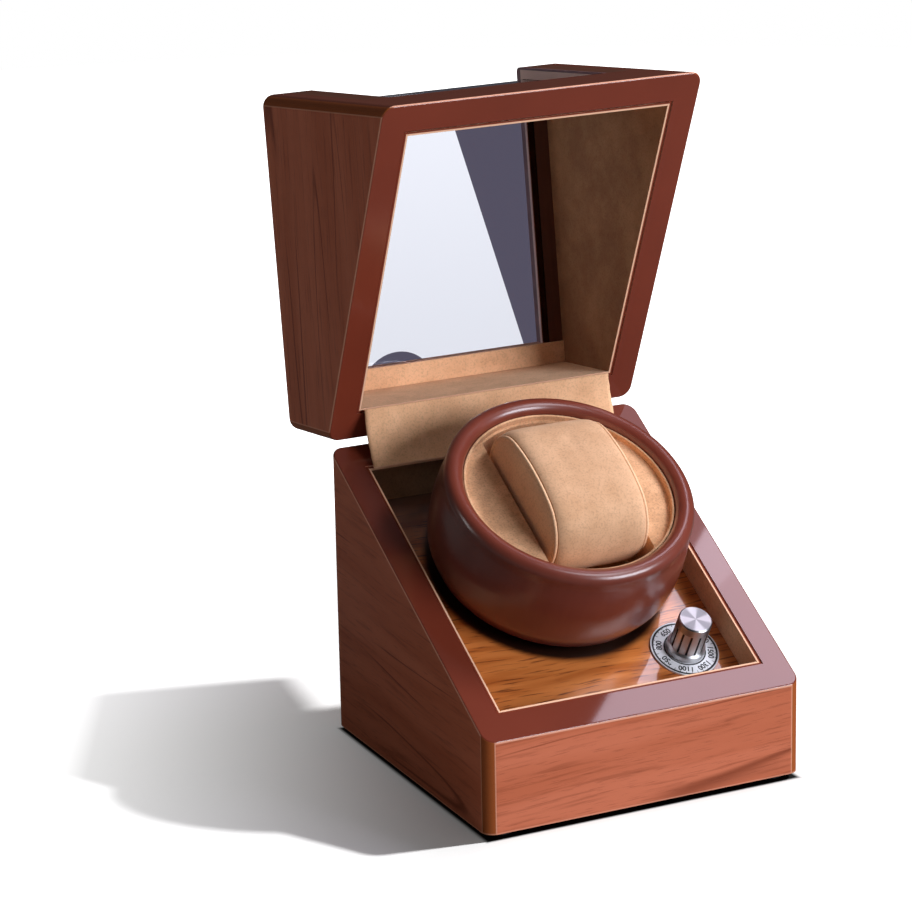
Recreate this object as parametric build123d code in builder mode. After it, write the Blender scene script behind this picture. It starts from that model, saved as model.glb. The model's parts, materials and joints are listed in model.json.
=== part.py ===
from build123d import *
from math import acos, atan2, cos, radians, sin, sqrt, tan
import os

os.makedirs("parts", exist_ok=True)

# Driving dimensions, in millimetres and degrees
# The case: a square plan, a low front and a high back, closed by a lid on the slope between them
box_width = 140.0
box_depth = 140.0
box_height = 161.0
front_height = 38.0
back_height = 119.5
panel = 11.0
corner_radius = 5.0
top_edge_radius = 2.5
rim_edge_radius = 0.7
foot_height = 2.5
foot_radius = 6.0
foot_inset = 9.5
bottom_thickness = 6.0

# Suede-faced lining boards inside the case and the lid
liner = 1.4
liner_gap = 0.4
fit_gap = 0.2
press_gap = 0.02
countersink_angle = 82.0

# The sloping deck and the cleats under it
deck_depth = 12.5
deck_thickness = 5.0
cleat_width = 7.0
cleat_height = 7.0

# Glue blocks that take the bottom panel's screws
block_size = 12.0
block_height = 9.0
bottom_screw_radius = 1.5
bottom_screw_head_radius = 2.9
bottom_screw_length = 12.0

# The lid: how far it stands open, its strips, rails and bent window
lid_open = 97.35
lid_gap = 0.4
strip_width = 11.0
strip_thickness = 7.0
top_rail_width = 11.0
sill_height = 80.0
pane_thickness = 2.0
pane_rebate = 3.0
pane_bend_radius = 4.0
pane_fit = 0.1

# Stop hinges let into the rim at the back
hinge_setback = 1.2
hinge_length = 24.0
hinge_inset = 32.0
hinge_leaf_reach = 11.4
hinge_leaf_thickness = 1.3
knuckle_radius = 1.9
knuckle_clearance = 0.3
lid_knuckle_length = 9.0
hinge_pin_radius = 0.75
running_clearance = 0.05
hinge_screw_radius = 1.0
hinge_screw_head_radius = 1.9
hinge_screw_length = 6.0
hinge_screw_spacing = 15.0
hinge_screw_setback = 6.8

# The suede flap that hides the hinges
flap_thickness = 0.8
flap_clearance = 0.3
flap_side_gap = 1.0

# The turned wooden cup
cup_side_gap = 4.7
cup_back_gap = 3.80
cup_height = 47.8
cup_gap = 1.6
cup_foot_inset = 10.0
cup_heel_inset = 4.7
cup_heel_height = 4.8
cup_waist_inset = 1.1
cup_waist_height = 12.5
cup_belly_height = 24.0
cup_neck_inset = 1.5
cup_neck_drop = 7.6
cup_wall = 9.2
cup_bead_radius = 4.0
cup_bead_crease = 45.0
cup_floor = 8.0

# The suede insert in the cup
ledge_drop = 6.0
insert_ring_width = 1.0
insert_ring_height = 2.6
well_half_width = 23.0
well_wall = 2.3
well_corner_radius = 2.0

# The cushion
cushion_length = 42.0
strap_gap = 8.0
cushion_half_rise = 21.0
cushion_end_radius = 19.5
cushion_end_shrink = 2.0
cushion_mid_shrink = 0.4
cushion_rest_gap = 0.3
cap_thickness = 1.6
cap_inset = 2.4

# The spindle that carries the cup
spindle_radius = 4.0
flange_radius = 18.0
flange_thickness = 3.0
spindle_screw_circle = 12.0
spindle_screw_count = 3
spindle_screw_radius = 1.5
spindle_screw_head_radius = 2.9
spindle_screw_length = 7.0
spindle_hole_clearance = 2.0

# The belt drive on its steel plate, measured down from the deck's top face
plate_depth = 19.0
plate_thickness = 1.5
plate_side_gap = 4.0
plate_margin = 14.0
plate_edge = 3.0
plate_end = 7.0
plate_corner_radius = 4.0
spacer_radius = 3.5
spacer_inset = 4.5
plate_screw_radius = 1.5
plate_screw_head_radius = 2.8
plate_screw_head_height = 1.8
plate_screw_bite = 3.5
pulley_depth = 8.2
pulley_thickness = 8.0
motor_pulley_radius = 6.4
pulley_gap = 6.6
groove_depth = 1.9
belt_radius = 1.1
belt_clearance = 0.25
motor_shaft_radius = 1.5
tube_radius = 8.0
tube_flange_radius = 12.5
tube_flange_thickness = 1.5
tube_length = 18.0
bush_radius = 6.0
bush_flange_radius = 7.5
bush_flange_thickness = 0.9
bush_length = 6.0
thrust_gap = 0.3
clip_radius = 6.6
clip_thickness = 0.8
clip_groove_depth = 0.7
spindle_tail = 1.8
gearbox_radius = 12.5
gearbox_length = 16.0
motor_radius = 12.2
motor_length = 13.0
motor_boss_radius = 4.0
motor_boss_length = 1.6
terminal_width = 2.4
terminal_length = 3.6
terminal_thickness = 0.5
terminal_spacing = 12.0

# The knob, its dial and the rotary switch
knob_cup_gap = 6.35
knob_radius = 6.9
knob_height = 18.6
knob_skirt_radius = 8.0
knob_skirt_height = 2.2
knob_skirt_gap = 0.6
knob_recess_radius = 6.1
knob_recess_height = 2.8
knob_chamfer = 0.5
knob_slot_count = 12
knob_slot_width = 0.9
knob_slot_depth = 0.5
knob_slot_top = 4.0
dial_radius = 14.2
dial_thickness = 0.8
switch_width = 17.0
switch_side_gap = 5.5
switch_depth = 8.0
switch_collar_radius = 3.6
switch_collar_height = 3.0
switch_shaft_radius = 3.0
switch_shaft_top = 4.0
nut_flats = 10.0
nut_thickness = 2.0

# The control board under the switch
board_length = 44.0
board_width = 34.0
board_thickness = 1.6
board_gap = 2.2
board_shift = 9.5
board_spacer_radius = 2.5
board_spacer_inset = 4.0
board_screw_radius = 1.2
board_screw_head_radius = 2.3
board_screw_head_height = 1.4
chip_length = 10.0
chip_width = 6.4
chip_height = 2.6
capacitor_radius = 3.2
capacitor_height = 8.0
header_length = 7.5
header_width = 5.0
header_height = 6.0

# The power inlet in the back panel
jack_side_gap = 25.0
jack_height = 22.0
jack_radius = 5.6
jack_flange_radius = 7.2
jack_flange_thickness = 1.6
jack_body_length = 22.0
jack_socket_radius = 2.8
jack_socket_depth = 10.0
jack_pin_radius = 1.0
jack_pin_setback = 1.5
jack_nut_flats = 14.0
jack_nut_thickness = 2.0
hole_clearance = 0.2

# The insulated leads inside the case
lead_radius = 1.1
lead_exit = 9.0
lead_bend_share = 0.45

# The slope and the planes that follow it
half_width = box_width / 2
half_depth = box_depth / 2
inner_half_width = half_width - panel
inner_half_depth = half_depth - panel
lined_half_width = inner_half_width - liner_gap - liner
lined_half_depth = inner_half_depth - liner_gap - liner
slope = atan2(back_height - front_height, box_depth)
across = Vector(1, 0, 0)
uphill = Vector(0, cos(slope), sin(slope))
outward = Vector(0, -sin(slope), cos(slope))
rim_plane = Plane(origin=(0, -half_depth, foot_height + front_height), x_dir=across, z_dir=outward)
deck_plane = rim_plane.offset(-deck_depth)
case_top = foot_height + box_height
case_floor = foot_height + bottom_thickness


def line_z(y, depth=0.0):
    """Height, at the place y, of the line that lies a depth under the base's rim."""
    return foot_height + front_height + (y + half_depth) * tan(slope) - depth / cos(slope)


def shifted(plane, along, sideways=0.0, up=0.0):
    """The same plane with its origin moved uphill, sideways and outward."""
    return Plane(origin=plane.from_local_coords((sideways, along, up)), x_dir=plane.x_dir, z_dir=plane.z_dir)


def turned_over(plane):
    """The same plane facing the other way."""
    return Plane(origin=plane.origin, x_dir=plane.x_dir, z_dir=-plane.z_dir)


def axis_section(plane):
    """A plane through another plane's normal: its y runs along that normal."""
    return Plane(origin=plane.origin, x_dir=plane.x_dir, z_dir=-plane.y_dir)


# The cup fills the room between the side linings and stands just ahead of the back one
cup_belly_radius = lined_half_width - cup_side_gap
cup_foot_radius = cup_belly_radius - cup_foot_inset
cup_heel_radius = cup_belly_radius - cup_heel_inset
cup_waist_radius = cup_belly_radius - cup_waist_inset
cup_neck_radius = cup_belly_radius - cup_neck_inset
cup_bore_radius = cup_belly_radius - cup_wall
heel_room = lined_half_depth - deck_plane.origin.Y + cup_heel_height * sin(slope)
cup_run = heel_room / cos(slope) - cup_back_gap - cup_heel_radius

# The knob stands beside the cup and the motor under the deck's other half, both clear of the cleats
cleat_inner_x = inner_half_width - cleat_width
knob_across = cleat_inner_x - switch_side_gap - switch_width / 2
knob_to_cup = cup_belly_radius + knob_cup_gap + knob_skirt_radius
knob_run = cup_run - sqrt(knob_to_cup**2 - knob_across**2)
plate_left = cleat_inner_x - plate_side_gap
motor_offset = plate_left - plate_margin
cup_pulley_radius = motor_offset - motor_pulley_radius - pulley_gap
plate_right = cup_pulley_radius + plate_end
plate_half_width = cup_pulley_radius + plate_edge

cup_plane = shifted(deck_plane, cup_run)
knob_plane = shifted(deck_plane, knob_run, knob_across)
motor_plane = shifted(cup_plane, 0, -motor_offset)

# The hinge axis, halfway between the two rims, and the turn that opens the lid
hinge_y = half_depth + hinge_setback
hinge_z = line_z(hinge_y, -lid_gap / 2)
lid_turn = Location((0, hinge_y, hinge_z), (-lid_open, 0, 0)) * Location((0, -hinge_y, -hinge_z))


def lid_section(x):
    """The closed lid's YZ plane at x, carried round the hinge to where the lid stands open."""
    return Plane(lid_turn * Plane.YZ.offset(x).location)


lid_rim_plane = Plane(lid_turn * rim_plane.offset(lid_gap).location)
lid_upright = Axis((0, 0, 0), lid_section(0).y_dir)
lid_level = Axis((0, 0, 0), lid_section(0).x_dir)

# Base side panels: the full depth of the case, with the rounded corners
side_outline = [
    (-half_depth, foot_height),
    (-half_depth, line_z(-half_depth)),
    (half_depth, line_z(half_depth)),
    (half_depth, foot_height),
]

with BuildPart() as base_side_left:
    with BuildSketch(Plane.YZ.offset(-half_width)):
        Polygon(*side_outline, align=None)
    extrude(amount=panel)
    outer_edges = base_side_left.edges().group_by(Axis.X)[0]
    fillet(outer_edges.filter_by(Axis.Z), radius=corner_radius)
    rim_face = base_side_left.faces().filter_by(rim_plane)[0]
    fillet(rim_face.edges().sort_by(Axis.X)[:-1], radius=rim_edge_radius)
base_side_left.part.label = "base_side_left"
export_step(base_side_left.part, "parts/base_side_left.step")

with BuildPart() as base_side_right:
    mirror(base_side_left.part, about=Plane.YZ)
base_side_right.part.label = "base_side_right"
export_step(base_side_right.part, "parts/base_side_right.step")

# Base front panel, let in between the sides
with BuildPart() as base_front:
    with BuildSketch(Plane.YZ.offset(-inner_half_width)):
        Polygon(
            (-half_depth, foot_height),
            (-half_depth, line_z(-half_depth)),
            (-inner_half_depth, line_z(-inner_half_depth)),
            (-inner_half_depth, foot_height),
            align=None,
        )
    extrude(amount=2 * inner_half_width)
    rim_face = base_front.faces().filter_by(rim_plane)[0]
    fillet(rim_face.edges().sort_by(Axis.Y)[0], radius=rim_edge_radius)
base_front.part.label = "base_front"
export_step(base_front.part, "parts/base_front.step")

# Hinges: where each stands along the back, and the outlines of its leaf
hinge_starts = [side * (half_width - hinge_inset) - hinge_length / 2 for side in (-1, 1)]
hinge_reach_y = hinge_y - hinge_leaf_reach * cos(slope)
leaf_back_y = hinge_y - (knuckle_radius + knuckle_clearance) * cos(slope)
base_knuckle_length = (hinge_length - lid_knuckle_length) / 2 - knuckle_clearance


def leaf_outline(near_y, far_y, low, high):
    """A strip along the slope between two depths below the base's rim."""
    return [
        (far_y, line_z(far_y, low)),
        (near_y, line_z(near_y, low)),
        (near_y, line_z(near_y, high)),
        (far_y, line_z(far_y, high)),
    ]


base_leaf = leaf_outline(leaf_back_y, hinge_reach_y, hinge_leaf_thickness, 0)
base_leaf_root = leaf_outline(hinge_y, hinge_reach_y, hinge_leaf_thickness, 0)
base_pocket = leaf_outline(hinge_y, hinge_reach_y - fit_gap, hinge_leaf_thickness, -lid_gap)
lid_leaf = leaf_outline(leaf_back_y, hinge_reach_y, -lid_gap, -lid_gap - hinge_leaf_thickness)
lid_leaf_root = leaf_outline(hinge_y, hinge_reach_y, -lid_gap, -lid_gap - hinge_leaf_thickness)
lid_pocket = leaf_outline(hinge_y, hinge_reach_y - fit_gap, 0, -lid_gap - hinge_leaf_thickness)

# Hinge screws: two through each leaf, square to the rims
hinge_screw_run = box_depth / cos(slope) - hinge_screw_setback
hinge_screw_spots = [
    (start + hinge_length / 2 + side * hinge_screw_spacing / 2, 0)
    for start in hinge_starts
    for side in (-1, 1)
]
base_screw_plane = shifted(rim_plane, hinge_screw_run)
lid_screw_plane = turned_over(shifted(lid_rim_plane, hinge_screw_run))
hinge_screw_hole = hinge_screw_radius + press_gap
hinge_screw_hole_depth = hinge_screw_length + fit_gap

# Base back panel, with pockets for the hinges and the hole for the power inlet
jack_across = inner_half_width - jack_side_gap
jack_centre = (jack_across, half_depth, foot_height + jack_height)
jack_plane = Plane(origin=jack_centre, x_dir=-across, z_dir=(0, 1, 0))

with BuildPart() as base_back:
    with BuildSketch(Plane.YZ.offset(-inner_half_width)):
        Polygon(
            (inner_half_depth, foot_height),
            (inner_half_depth, line_z(inner_half_depth)),
            (half_depth, line_z(half_depth)),
            (half_depth, foot_height),
            align=None,
        )
    extrude(amount=2 * inner_half_width)
    rim_face = base_back.faces().filter_by(rim_plane)[0]
    fillet(rim_face.edges().sort_by(Axis.Y)[-1], radius=rim_edge_radius)
    for start in hinge_starts:
        with BuildSketch(Plane.YZ.offset(start - fit_gap)):
            Polygon(*base_pocket, align=None)
            with Locations((hinge_y, hinge_z)):
                Circle(knuckle_radius + knuckle_clearance)
        extrude(amount=hinge_length + 2 * fit_gap, mode=Mode.SUBTRACT)
    with Locations(base_screw_plane):
        with Locations(*hinge_screw_spots):
            Hole(hinge_screw_hole, depth=hinge_screw_hole_depth)
    with Locations(jack_plane):
        Hole(jack_radius + hole_clearance, depth=panel)
base_back.part.label = "base_back"
export_step(base_back.part, "parts/base_back.step")

# Bottom panel, its glue blocks and its screws
block_reach = inner_half_width - block_size / 2
block_reach_y = inner_half_depth - block_size / 2

with BuildPart() as corner_blocks:
    with BuildSketch(Plane.XY.offset(case_floor)):
        with GridLocations(2 * block_reach, 2 * block_reach_y, 2, 2):
            Rectangle(block_size, block_size)
    extrude(amount=block_height)
    with Locations(Plane.XY.offset(case_floor)):
        with GridLocations(2 * block_reach, 2 * block_reach_y, 2, 2):
            Hole(bottom_screw_radius + press_gap, depth=block_height)
corner_blocks.part.label = "corner_blocks"
export_step(corner_blocks.part, "parts/corner_blocks.step")

underside = turned_over(Plane.XY.offset(foot_height))

with BuildPart() as bottom_panel:
    with BuildSketch(Plane.XY.offset(foot_height)):
        Rectangle(2 * inner_half_width, 2 * inner_half_depth)
    extrude(amount=bottom_thickness)
    with Locations(underside):
        with GridLocations(2 * block_reach, 2 * block_reach_y, 2, 2):
            CounterSinkHole(bottom_screw_radius + press_gap, bottom_screw_head_radius + press_gap)
bottom_panel.part.label = "bottom_panel"
export_step(bottom_panel.part, "parts/bottom_panel.step")


def fit_countersunk_screw(head_radius, shank_radius, length):
    """A countersunk screw at each active location, its head's face there and its shank running inward."""
    Cone(
        bottom_radius=shank_radius,
        top_radius=head_radius,
        height=(head_radius - shank_radius) / tan(radians(countersink_angle / 2)),
        align=(Align.CENTER, Align.CENTER, Align.MAX),
    )
    Cylinder(shank_radius, length, align=(Align.CENTER, Align.CENTER, Align.MAX))


def fit_pan_screw(head_radius, head_height, shank_radius, length):
    """A flat-headed screw at each active location, its head standing out and its shank running inward."""
    Cylinder(head_radius, head_height, align=(Align.CENTER, Align.CENTER, Align.MIN))
    Cylinder(shank_radius, length, align=(Align.CENTER, Align.CENTER, Align.MAX))


with BuildPart(underside) as bottom_screws:
    with GridLocations(2 * block_reach, 2 * block_reach_y, 2, 2):
        fit_countersunk_screw(bottom_screw_head_radius, bottom_screw_radius, bottom_screw_length)
bottom_screws.part.label = "bottom_screws"
export_step(bottom_screws.part, "parts/bottom_screws.step")

# Rubber feet under the corners
with BuildPart() as feet:
    with BuildSketch(Plane.XY):
        with GridLocations(box_width - 2 * foot_inset, box_depth - 2 * foot_inset, 2, 2):
            Circle(foot_radius)
    extrude(amount=foot_height)
    fillet(feet.edges().group_by(Axis.Z)[0], radius=rim_edge_radius)
feet.part.label = "feet"
export_step(feet.part, "parts/feet.step")

# Where the drive plate and the control board hang under the deck
plate_plane = shifted(cup_plane, 0, 0, -plate_depth)
spacer_centre = shifted(plate_plane, 0, (plate_right - plate_left) / 2)
spacer_grid = (plate_left + plate_right - 2 * spacer_inset, 2 * plate_half_width - 2 * spacer_inset)
spacer_length = plate_depth - deck_thickness
switch_bottom = deck_thickness + switch_depth
board_plane = shifted(knob_plane, 0, -board_shift, -switch_bottom - board_gap)
board_spacer_x = board_length / 2 - board_spacer_inset
board_spacer_y = board_width / 2 - board_spacer_inset
board_spacer_spots = [(-board_spacer_x, board_spacer_y), (board_spacer_x, -board_spacer_y)]
board_screw_spots = [(-board_spacer_x, -board_spacer_y), (board_spacer_x, board_spacer_y)]
board_spacer_length = switch_bottom + board_gap - deck_thickness

# Cleats glued along the sides, and the deck that lies on them
with BuildPart() as deck_cleats:
    for edge in (-inner_half_width, inner_half_width - cleat_width):
        with BuildSketch(Plane.YZ.offset(edge)):
            Polygon(
                (-inner_half_depth, line_z(-inner_half_depth, deck_depth + deck_thickness)),
                (inner_half_depth, line_z(inner_half_depth, deck_depth + deck_thickness)),
                (inner_half_depth, line_z(inner_half_depth, deck_depth + deck_thickness + cleat_height)),
                (-inner_half_depth, line_z(-inner_half_depth, deck_depth + deck_thickness + cleat_height)),
                align=None,
            )
        extrude(amount=cleat_width)
deck_cleats.part.label = "deck_cleats"
export_step(deck_cleats.part, "parts/deck_cleats.step")

with BuildPart() as deck:
    with BuildSketch(Plane.YZ.offset(-inner_half_width)):
        Polygon(
            (-inner_half_depth, line_z(-inner_half_depth, deck_depth)),
            (inner_half_depth, line_z(inner_half_depth, deck_depth)),
            (inner_half_depth, line_z(inner_half_depth, deck_depth + deck_thickness)),
            (-inner_half_depth, line_z(-inner_half_depth, deck_depth + deck_thickness)),
            align=None,
        )
    extrude(amount=2 * inner_half_width)
    with Locations(cup_plane):
        Hole(spindle_radius + spindle_hole_clearance, depth=deck_thickness)
    with Locations(knob_plane):
        Hole(switch_collar_radius + hole_clearance, depth=deck_thickness)
    with Locations(turned_over(spacer_centre.offset(spacer_length))):
        with GridLocations(*spacer_grid, 2, 2):
            Hole(plate_screw_radius + press_gap, depth=plate_screw_bite + fit_gap)
    with Locations(turned_over(board_plane.offset(board_spacer_length))):
        with Locations(*board_screw_spots):
            Hole(board_screw_radius + press_gap, depth=plate_screw_bite + fit_gap)
deck.part.label = "deck"
export_step(deck.part, "parts/deck.step")

# Lining boards that stand on the deck and end a little below the rim
liner_rest = deck_depth - fit_gap
liner_top_edge = liner_gap

with BuildPart() as base_liner_sides:
    for edge in (-inner_half_width + liner_gap, lined_half_width):
        with BuildSketch(Plane.YZ.offset(edge)):
            Polygon(
                (-inner_half_depth, line_z(-inner_half_depth, liner_rest)),
                (-inner_half_depth, line_z(-inner_half_depth, liner_top_edge)),
                (inner_half_depth, line_z(inner_half_depth, liner_top_edge)),
                (inner_half_depth, line_z(inner_half_depth, liner_rest)),
                align=None,
            )
        extrude(amount=liner)
base_liner_sides.part.label = "base_liner_sides"
export_step(base_liner_sides.part, "parts/base_liner_sides.step")

end_liner_half_width = lined_half_width - fit_gap / 2

with BuildPart() as base_liner_front:
    with BuildSketch(Plane.YZ.offset(-end_liner_half_width)):
        Polygon(
            (-lined_half_depth, line_z(-lined_half_depth, liner_rest)),
            (-lined_half_depth, line_z(-lined_half_depth, liner_top_edge)),
            (-lined_half_depth - liner, line_z(-lined_half_depth - liner, liner_top_edge)),
            (-lined_half_depth - liner, line_z(-lined_half_depth - liner, liner_rest)),
            align=None,
        )
    extrude(amount=2 * end_liner_half_width)
base_liner_front.part.label = "base_liner_front"
export_step(base_liner_front.part, "parts/base_liner_front.step")

with BuildPart() as base_liner_back:
    with BuildSketch(Plane.YZ.offset(-end_liner_half_width)):
        Polygon(
            (lined_half_depth, line_z(lined_half_depth, liner_rest)),
            (lined_half_depth, line_z(lined_half_depth, liner_top_edge)),
            (lined_half_depth + liner, line_z(lined_half_depth + liner, liner_top_edge)),
            (lined_half_depth + liner, line_z(lined_half_depth + liner, liner_rest)),
            align=None,
        )
    extrude(amount=2 * end_liner_half_width)
base_liner_back.part.label = "base_liner_back"
export_step(base_liner_back.part, "parts/base_liner_back.step")

# The drive plate, its spacers and the screws that hold both under the deck
with BuildPart() as drive_plate:
    with BuildSketch(spacer_centre):
        RectangleRounded(plate_left + plate_right, 2 * plate_half_width, plate_corner_radius)
        with GridLocations(*spacer_grid, 2, 2):
            Circle(plate_screw_radius + hole_clearance, mode=Mode.SUBTRACT)
    extrude(amount=-plate_thickness)
    with Locations(plate_plane):
        Hole(tube_radius + press_gap, depth=plate_thickness)
        with Locations((-motor_offset, 0)):
            Hole(motor_boss_radius + press_gap, depth=plate_thickness)
drive_plate.part.label = "drive_plate"
export_step(drive_plate.part, "parts/drive_plate.step")

with BuildPart() as plate_spacers:
    with BuildSketch(spacer_centre):
        with GridLocations(*spacer_grid, 2, 2):
            Circle(spacer_radius)
            Circle(plate_screw_radius + hole_clearance, mode=Mode.SUBTRACT)
    extrude(amount=spacer_length)
plate_spacers.part.label = "plate_spacers"
export_step(plate_spacers.part, "parts/plate_spacers.step")

with BuildPart(turned_over(spacer_centre.offset(-plate_thickness))) as plate_screws:
    with GridLocations(*spacer_grid, 2, 2):
        fit_pan_screw(
            plate_screw_head_radius,
            plate_screw_head_height,
            plate_screw_radius,
            plate_thickness + spacer_length + plate_screw_bite,
        )
plate_screws.part.label = "plate_screws"
export_step(plate_screws.part, "parts/plate_screws.step")

# The bearing tube in the plate, with a flanged bush at each end
tube_top = plate_depth - bush_flange_thickness
tube_bottom = plate_depth + tube_length

with BuildPart() as bearing_tube:
    with BuildSketch(axis_section(cup_plane)):
        with BuildLine():
            Polyline(
                (bush_radius + press_gap, -plate_depth),
                (tube_radius, -plate_depth),
                (tube_radius, -plate_depth - plate_thickness),
                (tube_flange_radius, -plate_depth - plate_thickness),
                (tube_flange_radius, -plate_depth - plate_thickness - tube_flange_thickness),
                (tube_radius, -plate_depth - plate_thickness - tube_flange_thickness),
                (tube_radius, -tube_bottom),
                (bush_radius + press_gap, -tube_bottom),
                close=True,
            )
        make_face()
    revolve(axis=Axis(cup_plane.origin, outward))
bearing_tube.part.label = "bearing_tube"
export_step(bearing_tube.part, "parts/bearing_tube.step")

bush_seats = [shifted(cup_plane, 0, 0, -plate_depth), turned_over(shifted(cup_plane, 0, 0, -tube_bottom))]

with BuildPart() as spindle_bushes:
    for seat in bush_seats:
        with BuildSketch(seat):
            Circle(bush_flange_radius)
        extrude(amount=bush_flange_thickness)
        with BuildSketch(seat):
            Circle(bush_radius)
        extrude(amount=-bush_length)
        with Locations(seat):
            Hole(spindle_radius + running_clearance)
spindle_bushes.part.label = "spindle_bushes"
export_step(spindle_bushes.part, "parts/spindle_bushes.step")

# The spindle: a flange let into the cup's foot, and a shaft down through the bushes
clip_top = tube_bottom + bush_flange_thickness + thrust_gap
clip_bottom = clip_top + clip_thickness
spindle_end = clip_bottom + spindle_tail
clip_inner_radius = spindle_radius - clip_groove_depth

with BuildPart() as spindle:
    with BuildSketch(axis_section(cup_plane)):
        with BuildLine():
            Polyline(
                (0, cup_gap + flange_thickness),
                (flange_radius, cup_gap + flange_thickness),
                (flange_radius, cup_gap),
                (spindle_radius, cup_gap),
                (spindle_radius, -clip_top),
                (clip_inner_radius, -clip_top),
                (clip_inner_radius, -clip_bottom),
                (spindle_radius, -clip_bottom),
                (spindle_radius, -spindle_end),
                (0, -spindle_end),
                close=True,
            )
        make_face()
    revolve(axis=Axis(cup_plane.origin, outward))
    with Locations(turned_over(shifted(cup_plane, 0, 0, cup_gap))):
        with PolarLocations(spindle_screw_circle, spindle_screw_count):
            CounterSinkHole(
                spindle_screw_radius + press_gap,
                spindle_screw_head_radius + press_gap,
                depth=flange_thickness,
            )
spindle.part.label = "spindle"
export_step(spindle.part, "parts/spindle.step")

with BuildPart(turned_over(shifted(cup_plane, 0, 0, cup_gap))) as spindle_screws:
    with PolarLocations(spindle_screw_circle, spindle_screw_count):
        fit_countersunk_screw(spindle_screw_head_radius, spindle_screw_radius, spindle_screw_length)
spindle_screws.part.label = "spindle_screws"
export_step(spindle_screws.part, "parts/spindle_screws.step")

with BuildPart() as spindle_clip:
    with BuildSketch(shifted(cup_plane, 0, 0, -clip_top - press_gap)):
        Circle(clip_radius)
        Circle(clip_inner_radius + press_gap, mode=Mode.SUBTRACT)
        with Locations((0, -clip_radius)):
            Rectangle(clip_inner_radius, 2 * clip_radius, mode=Mode.SUBTRACT)
    extrude(amount=-clip_thickness + 2 * press_gap)
spindle_clip.part.label = "spindle_clip"
export_step(spindle_clip.part, "parts/spindle_clip.step")

# Pulleys: grooved rims in one plane, the large one on the spindle and the small one on the motor's shaft
belt_depth = pulley_depth + pulley_thickness / 2
groove_half_width = belt_radius + belt_clearance


def pulley_outline(bore, radius):
    """Half the section of a pulley with a round-bottomed groove for the belt."""
    return [
        (bore, -pulley_depth),
        (radius, -pulley_depth),
        (radius, -belt_depth + groove_half_width),
        (radius - groove_depth, -belt_depth),
        (radius, -belt_depth - groove_half_width),
        (radius, -pulley_depth - pulley_thickness),
        (bore, -pulley_depth - pulley_thickness),
    ]


with BuildPart() as cup_pulley:
    with BuildSketch(axis_section(cup_plane)):
        outline = pulley_outline(spindle_radius + press_gap, cup_pulley_radius)
        with BuildLine():
            Polyline(*outline[:3])
            ThreePointArc(*outline[2:5])
            Polyline(*outline[4:], outline[0])
        make_face()
    revolve(axis=Axis(cup_plane.origin, outward))
    with BuildSketch(shifted(cup_plane, 0, 0, -pulley_depth - pulley_thickness)):
        Circle(bush_flange_radius)
        Circle(spindle_radius + press_gap, mode=Mode.SUBTRACT)
    extrude(amount=-(tube_top - pulley_depth - pulley_thickness - thrust_gap))
cup_pulley.part.label = "cup_pulley"
export_step(cup_pulley.part, "parts/cup_pulley.step")

# The gearmotor under the plate, its shaft coming up beside the spindle
gearbox_top = plate_depth + plate_thickness
gearbox_bottom = gearbox_top + gearbox_length
motor_bottom = gearbox_bottom + motor_length

with BuildPart() as gearbox_case:
    with BuildSketch(shifted(motor_plane, 0, 0, -gearbox_top)):
        Circle(gearbox_radius)
    extrude(amount=-gearbox_length)
    fillet(gearbox_case.edges().sort_by(Axis(motor_plane.origin, outward))[-1], radius=rim_edge_radius)
    with BuildSketch(shifted(motor_plane, 0, 0, -gearbox_top)):
        Circle(motor_boss_radius)
    extrude(amount=plate_thickness)
    with Locations(shifted(motor_plane, 0, 0, -plate_depth)):
        Hole(motor_shaft_radius + running_clearance, depth=plate_thickness + gearbox_length / 2)
gearbox_case.part.label = "gearbox_case"
export_step(gearbox_case.part, "parts/gearbox_case.step")

with BuildPart() as motor_can:
    with BuildSketch(shifted(motor_plane, 0, 0, -gearbox_bottom)):
        Circle(motor_radius)
    extrude(amount=-motor_length)
    fillet(motor_can.edges().sort_by(Axis(motor_plane.origin, outward))[0], radius=rim_edge_radius)
    with BuildSketch(shifted(motor_plane, 0, 0, -motor_bottom)):
        Circle(motor_boss_radius)
    extrude(amount=-motor_boss_length)
    with BuildSketch(shifted(motor_plane, 0, 0, -motor_bottom)):
        with GridLocations(terminal_spacing, 0, 2, 1):
            Rectangle(terminal_width, terminal_thickness)
    extrude(amount=-terminal_length)
motor_can.part.label = "motor_can"
export_step(motor_can.part, "parts/motor_can.step")

with BuildPart() as motor_pulley:
    with BuildSketch(axis_section(motor_plane)):
        outline = pulley_outline(0, motor_pulley_radius)
        with BuildLine():
            Polyline(*outline[:3])
            ThreePointArc(*outline[2:5])
            Polyline(*outline[4:], outline[0])
        make_face()
    revolve(axis=Axis(motor_plane.origin, outward))
    with BuildSketch(shifted(motor_plane, 0, 0, -pulley_depth - pulley_thickness)):
        Circle(motor_shaft_radius)
    extrude(amount=-(gearbox_top + gearbox_length / 2 - thrust_gap - pulley_depth - pulley_thickness))
motor_pulley.part.label = "motor_pulley"
export_step(motor_pulley.part, "parts/motor_pulley.step")

# The belt: a round rubber ring led straight from pulley to pulley
belt_plane = shifted(cup_plane, 0, 0, -belt_depth)
belt_large = cup_pulley_radius - groove_depth + belt_clearance + belt_radius
belt_small = motor_pulley_radius - groove_depth + belt_clearance + belt_radius
belt_angle = acos((belt_large - belt_small) / motor_offset)
belt_x = -cos(belt_angle)
belt_y = sin(belt_angle)

belt_points = [
    (belt_large * belt_x, belt_large * belt_y),
    (belt_small * belt_x - motor_offset, belt_small * belt_y),
    (-motor_offset - belt_small, 0),
    (belt_small * belt_x - motor_offset, -belt_small * belt_y),
    (belt_large * belt_x, -belt_large * belt_y),
    (belt_large, 0),
]

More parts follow.
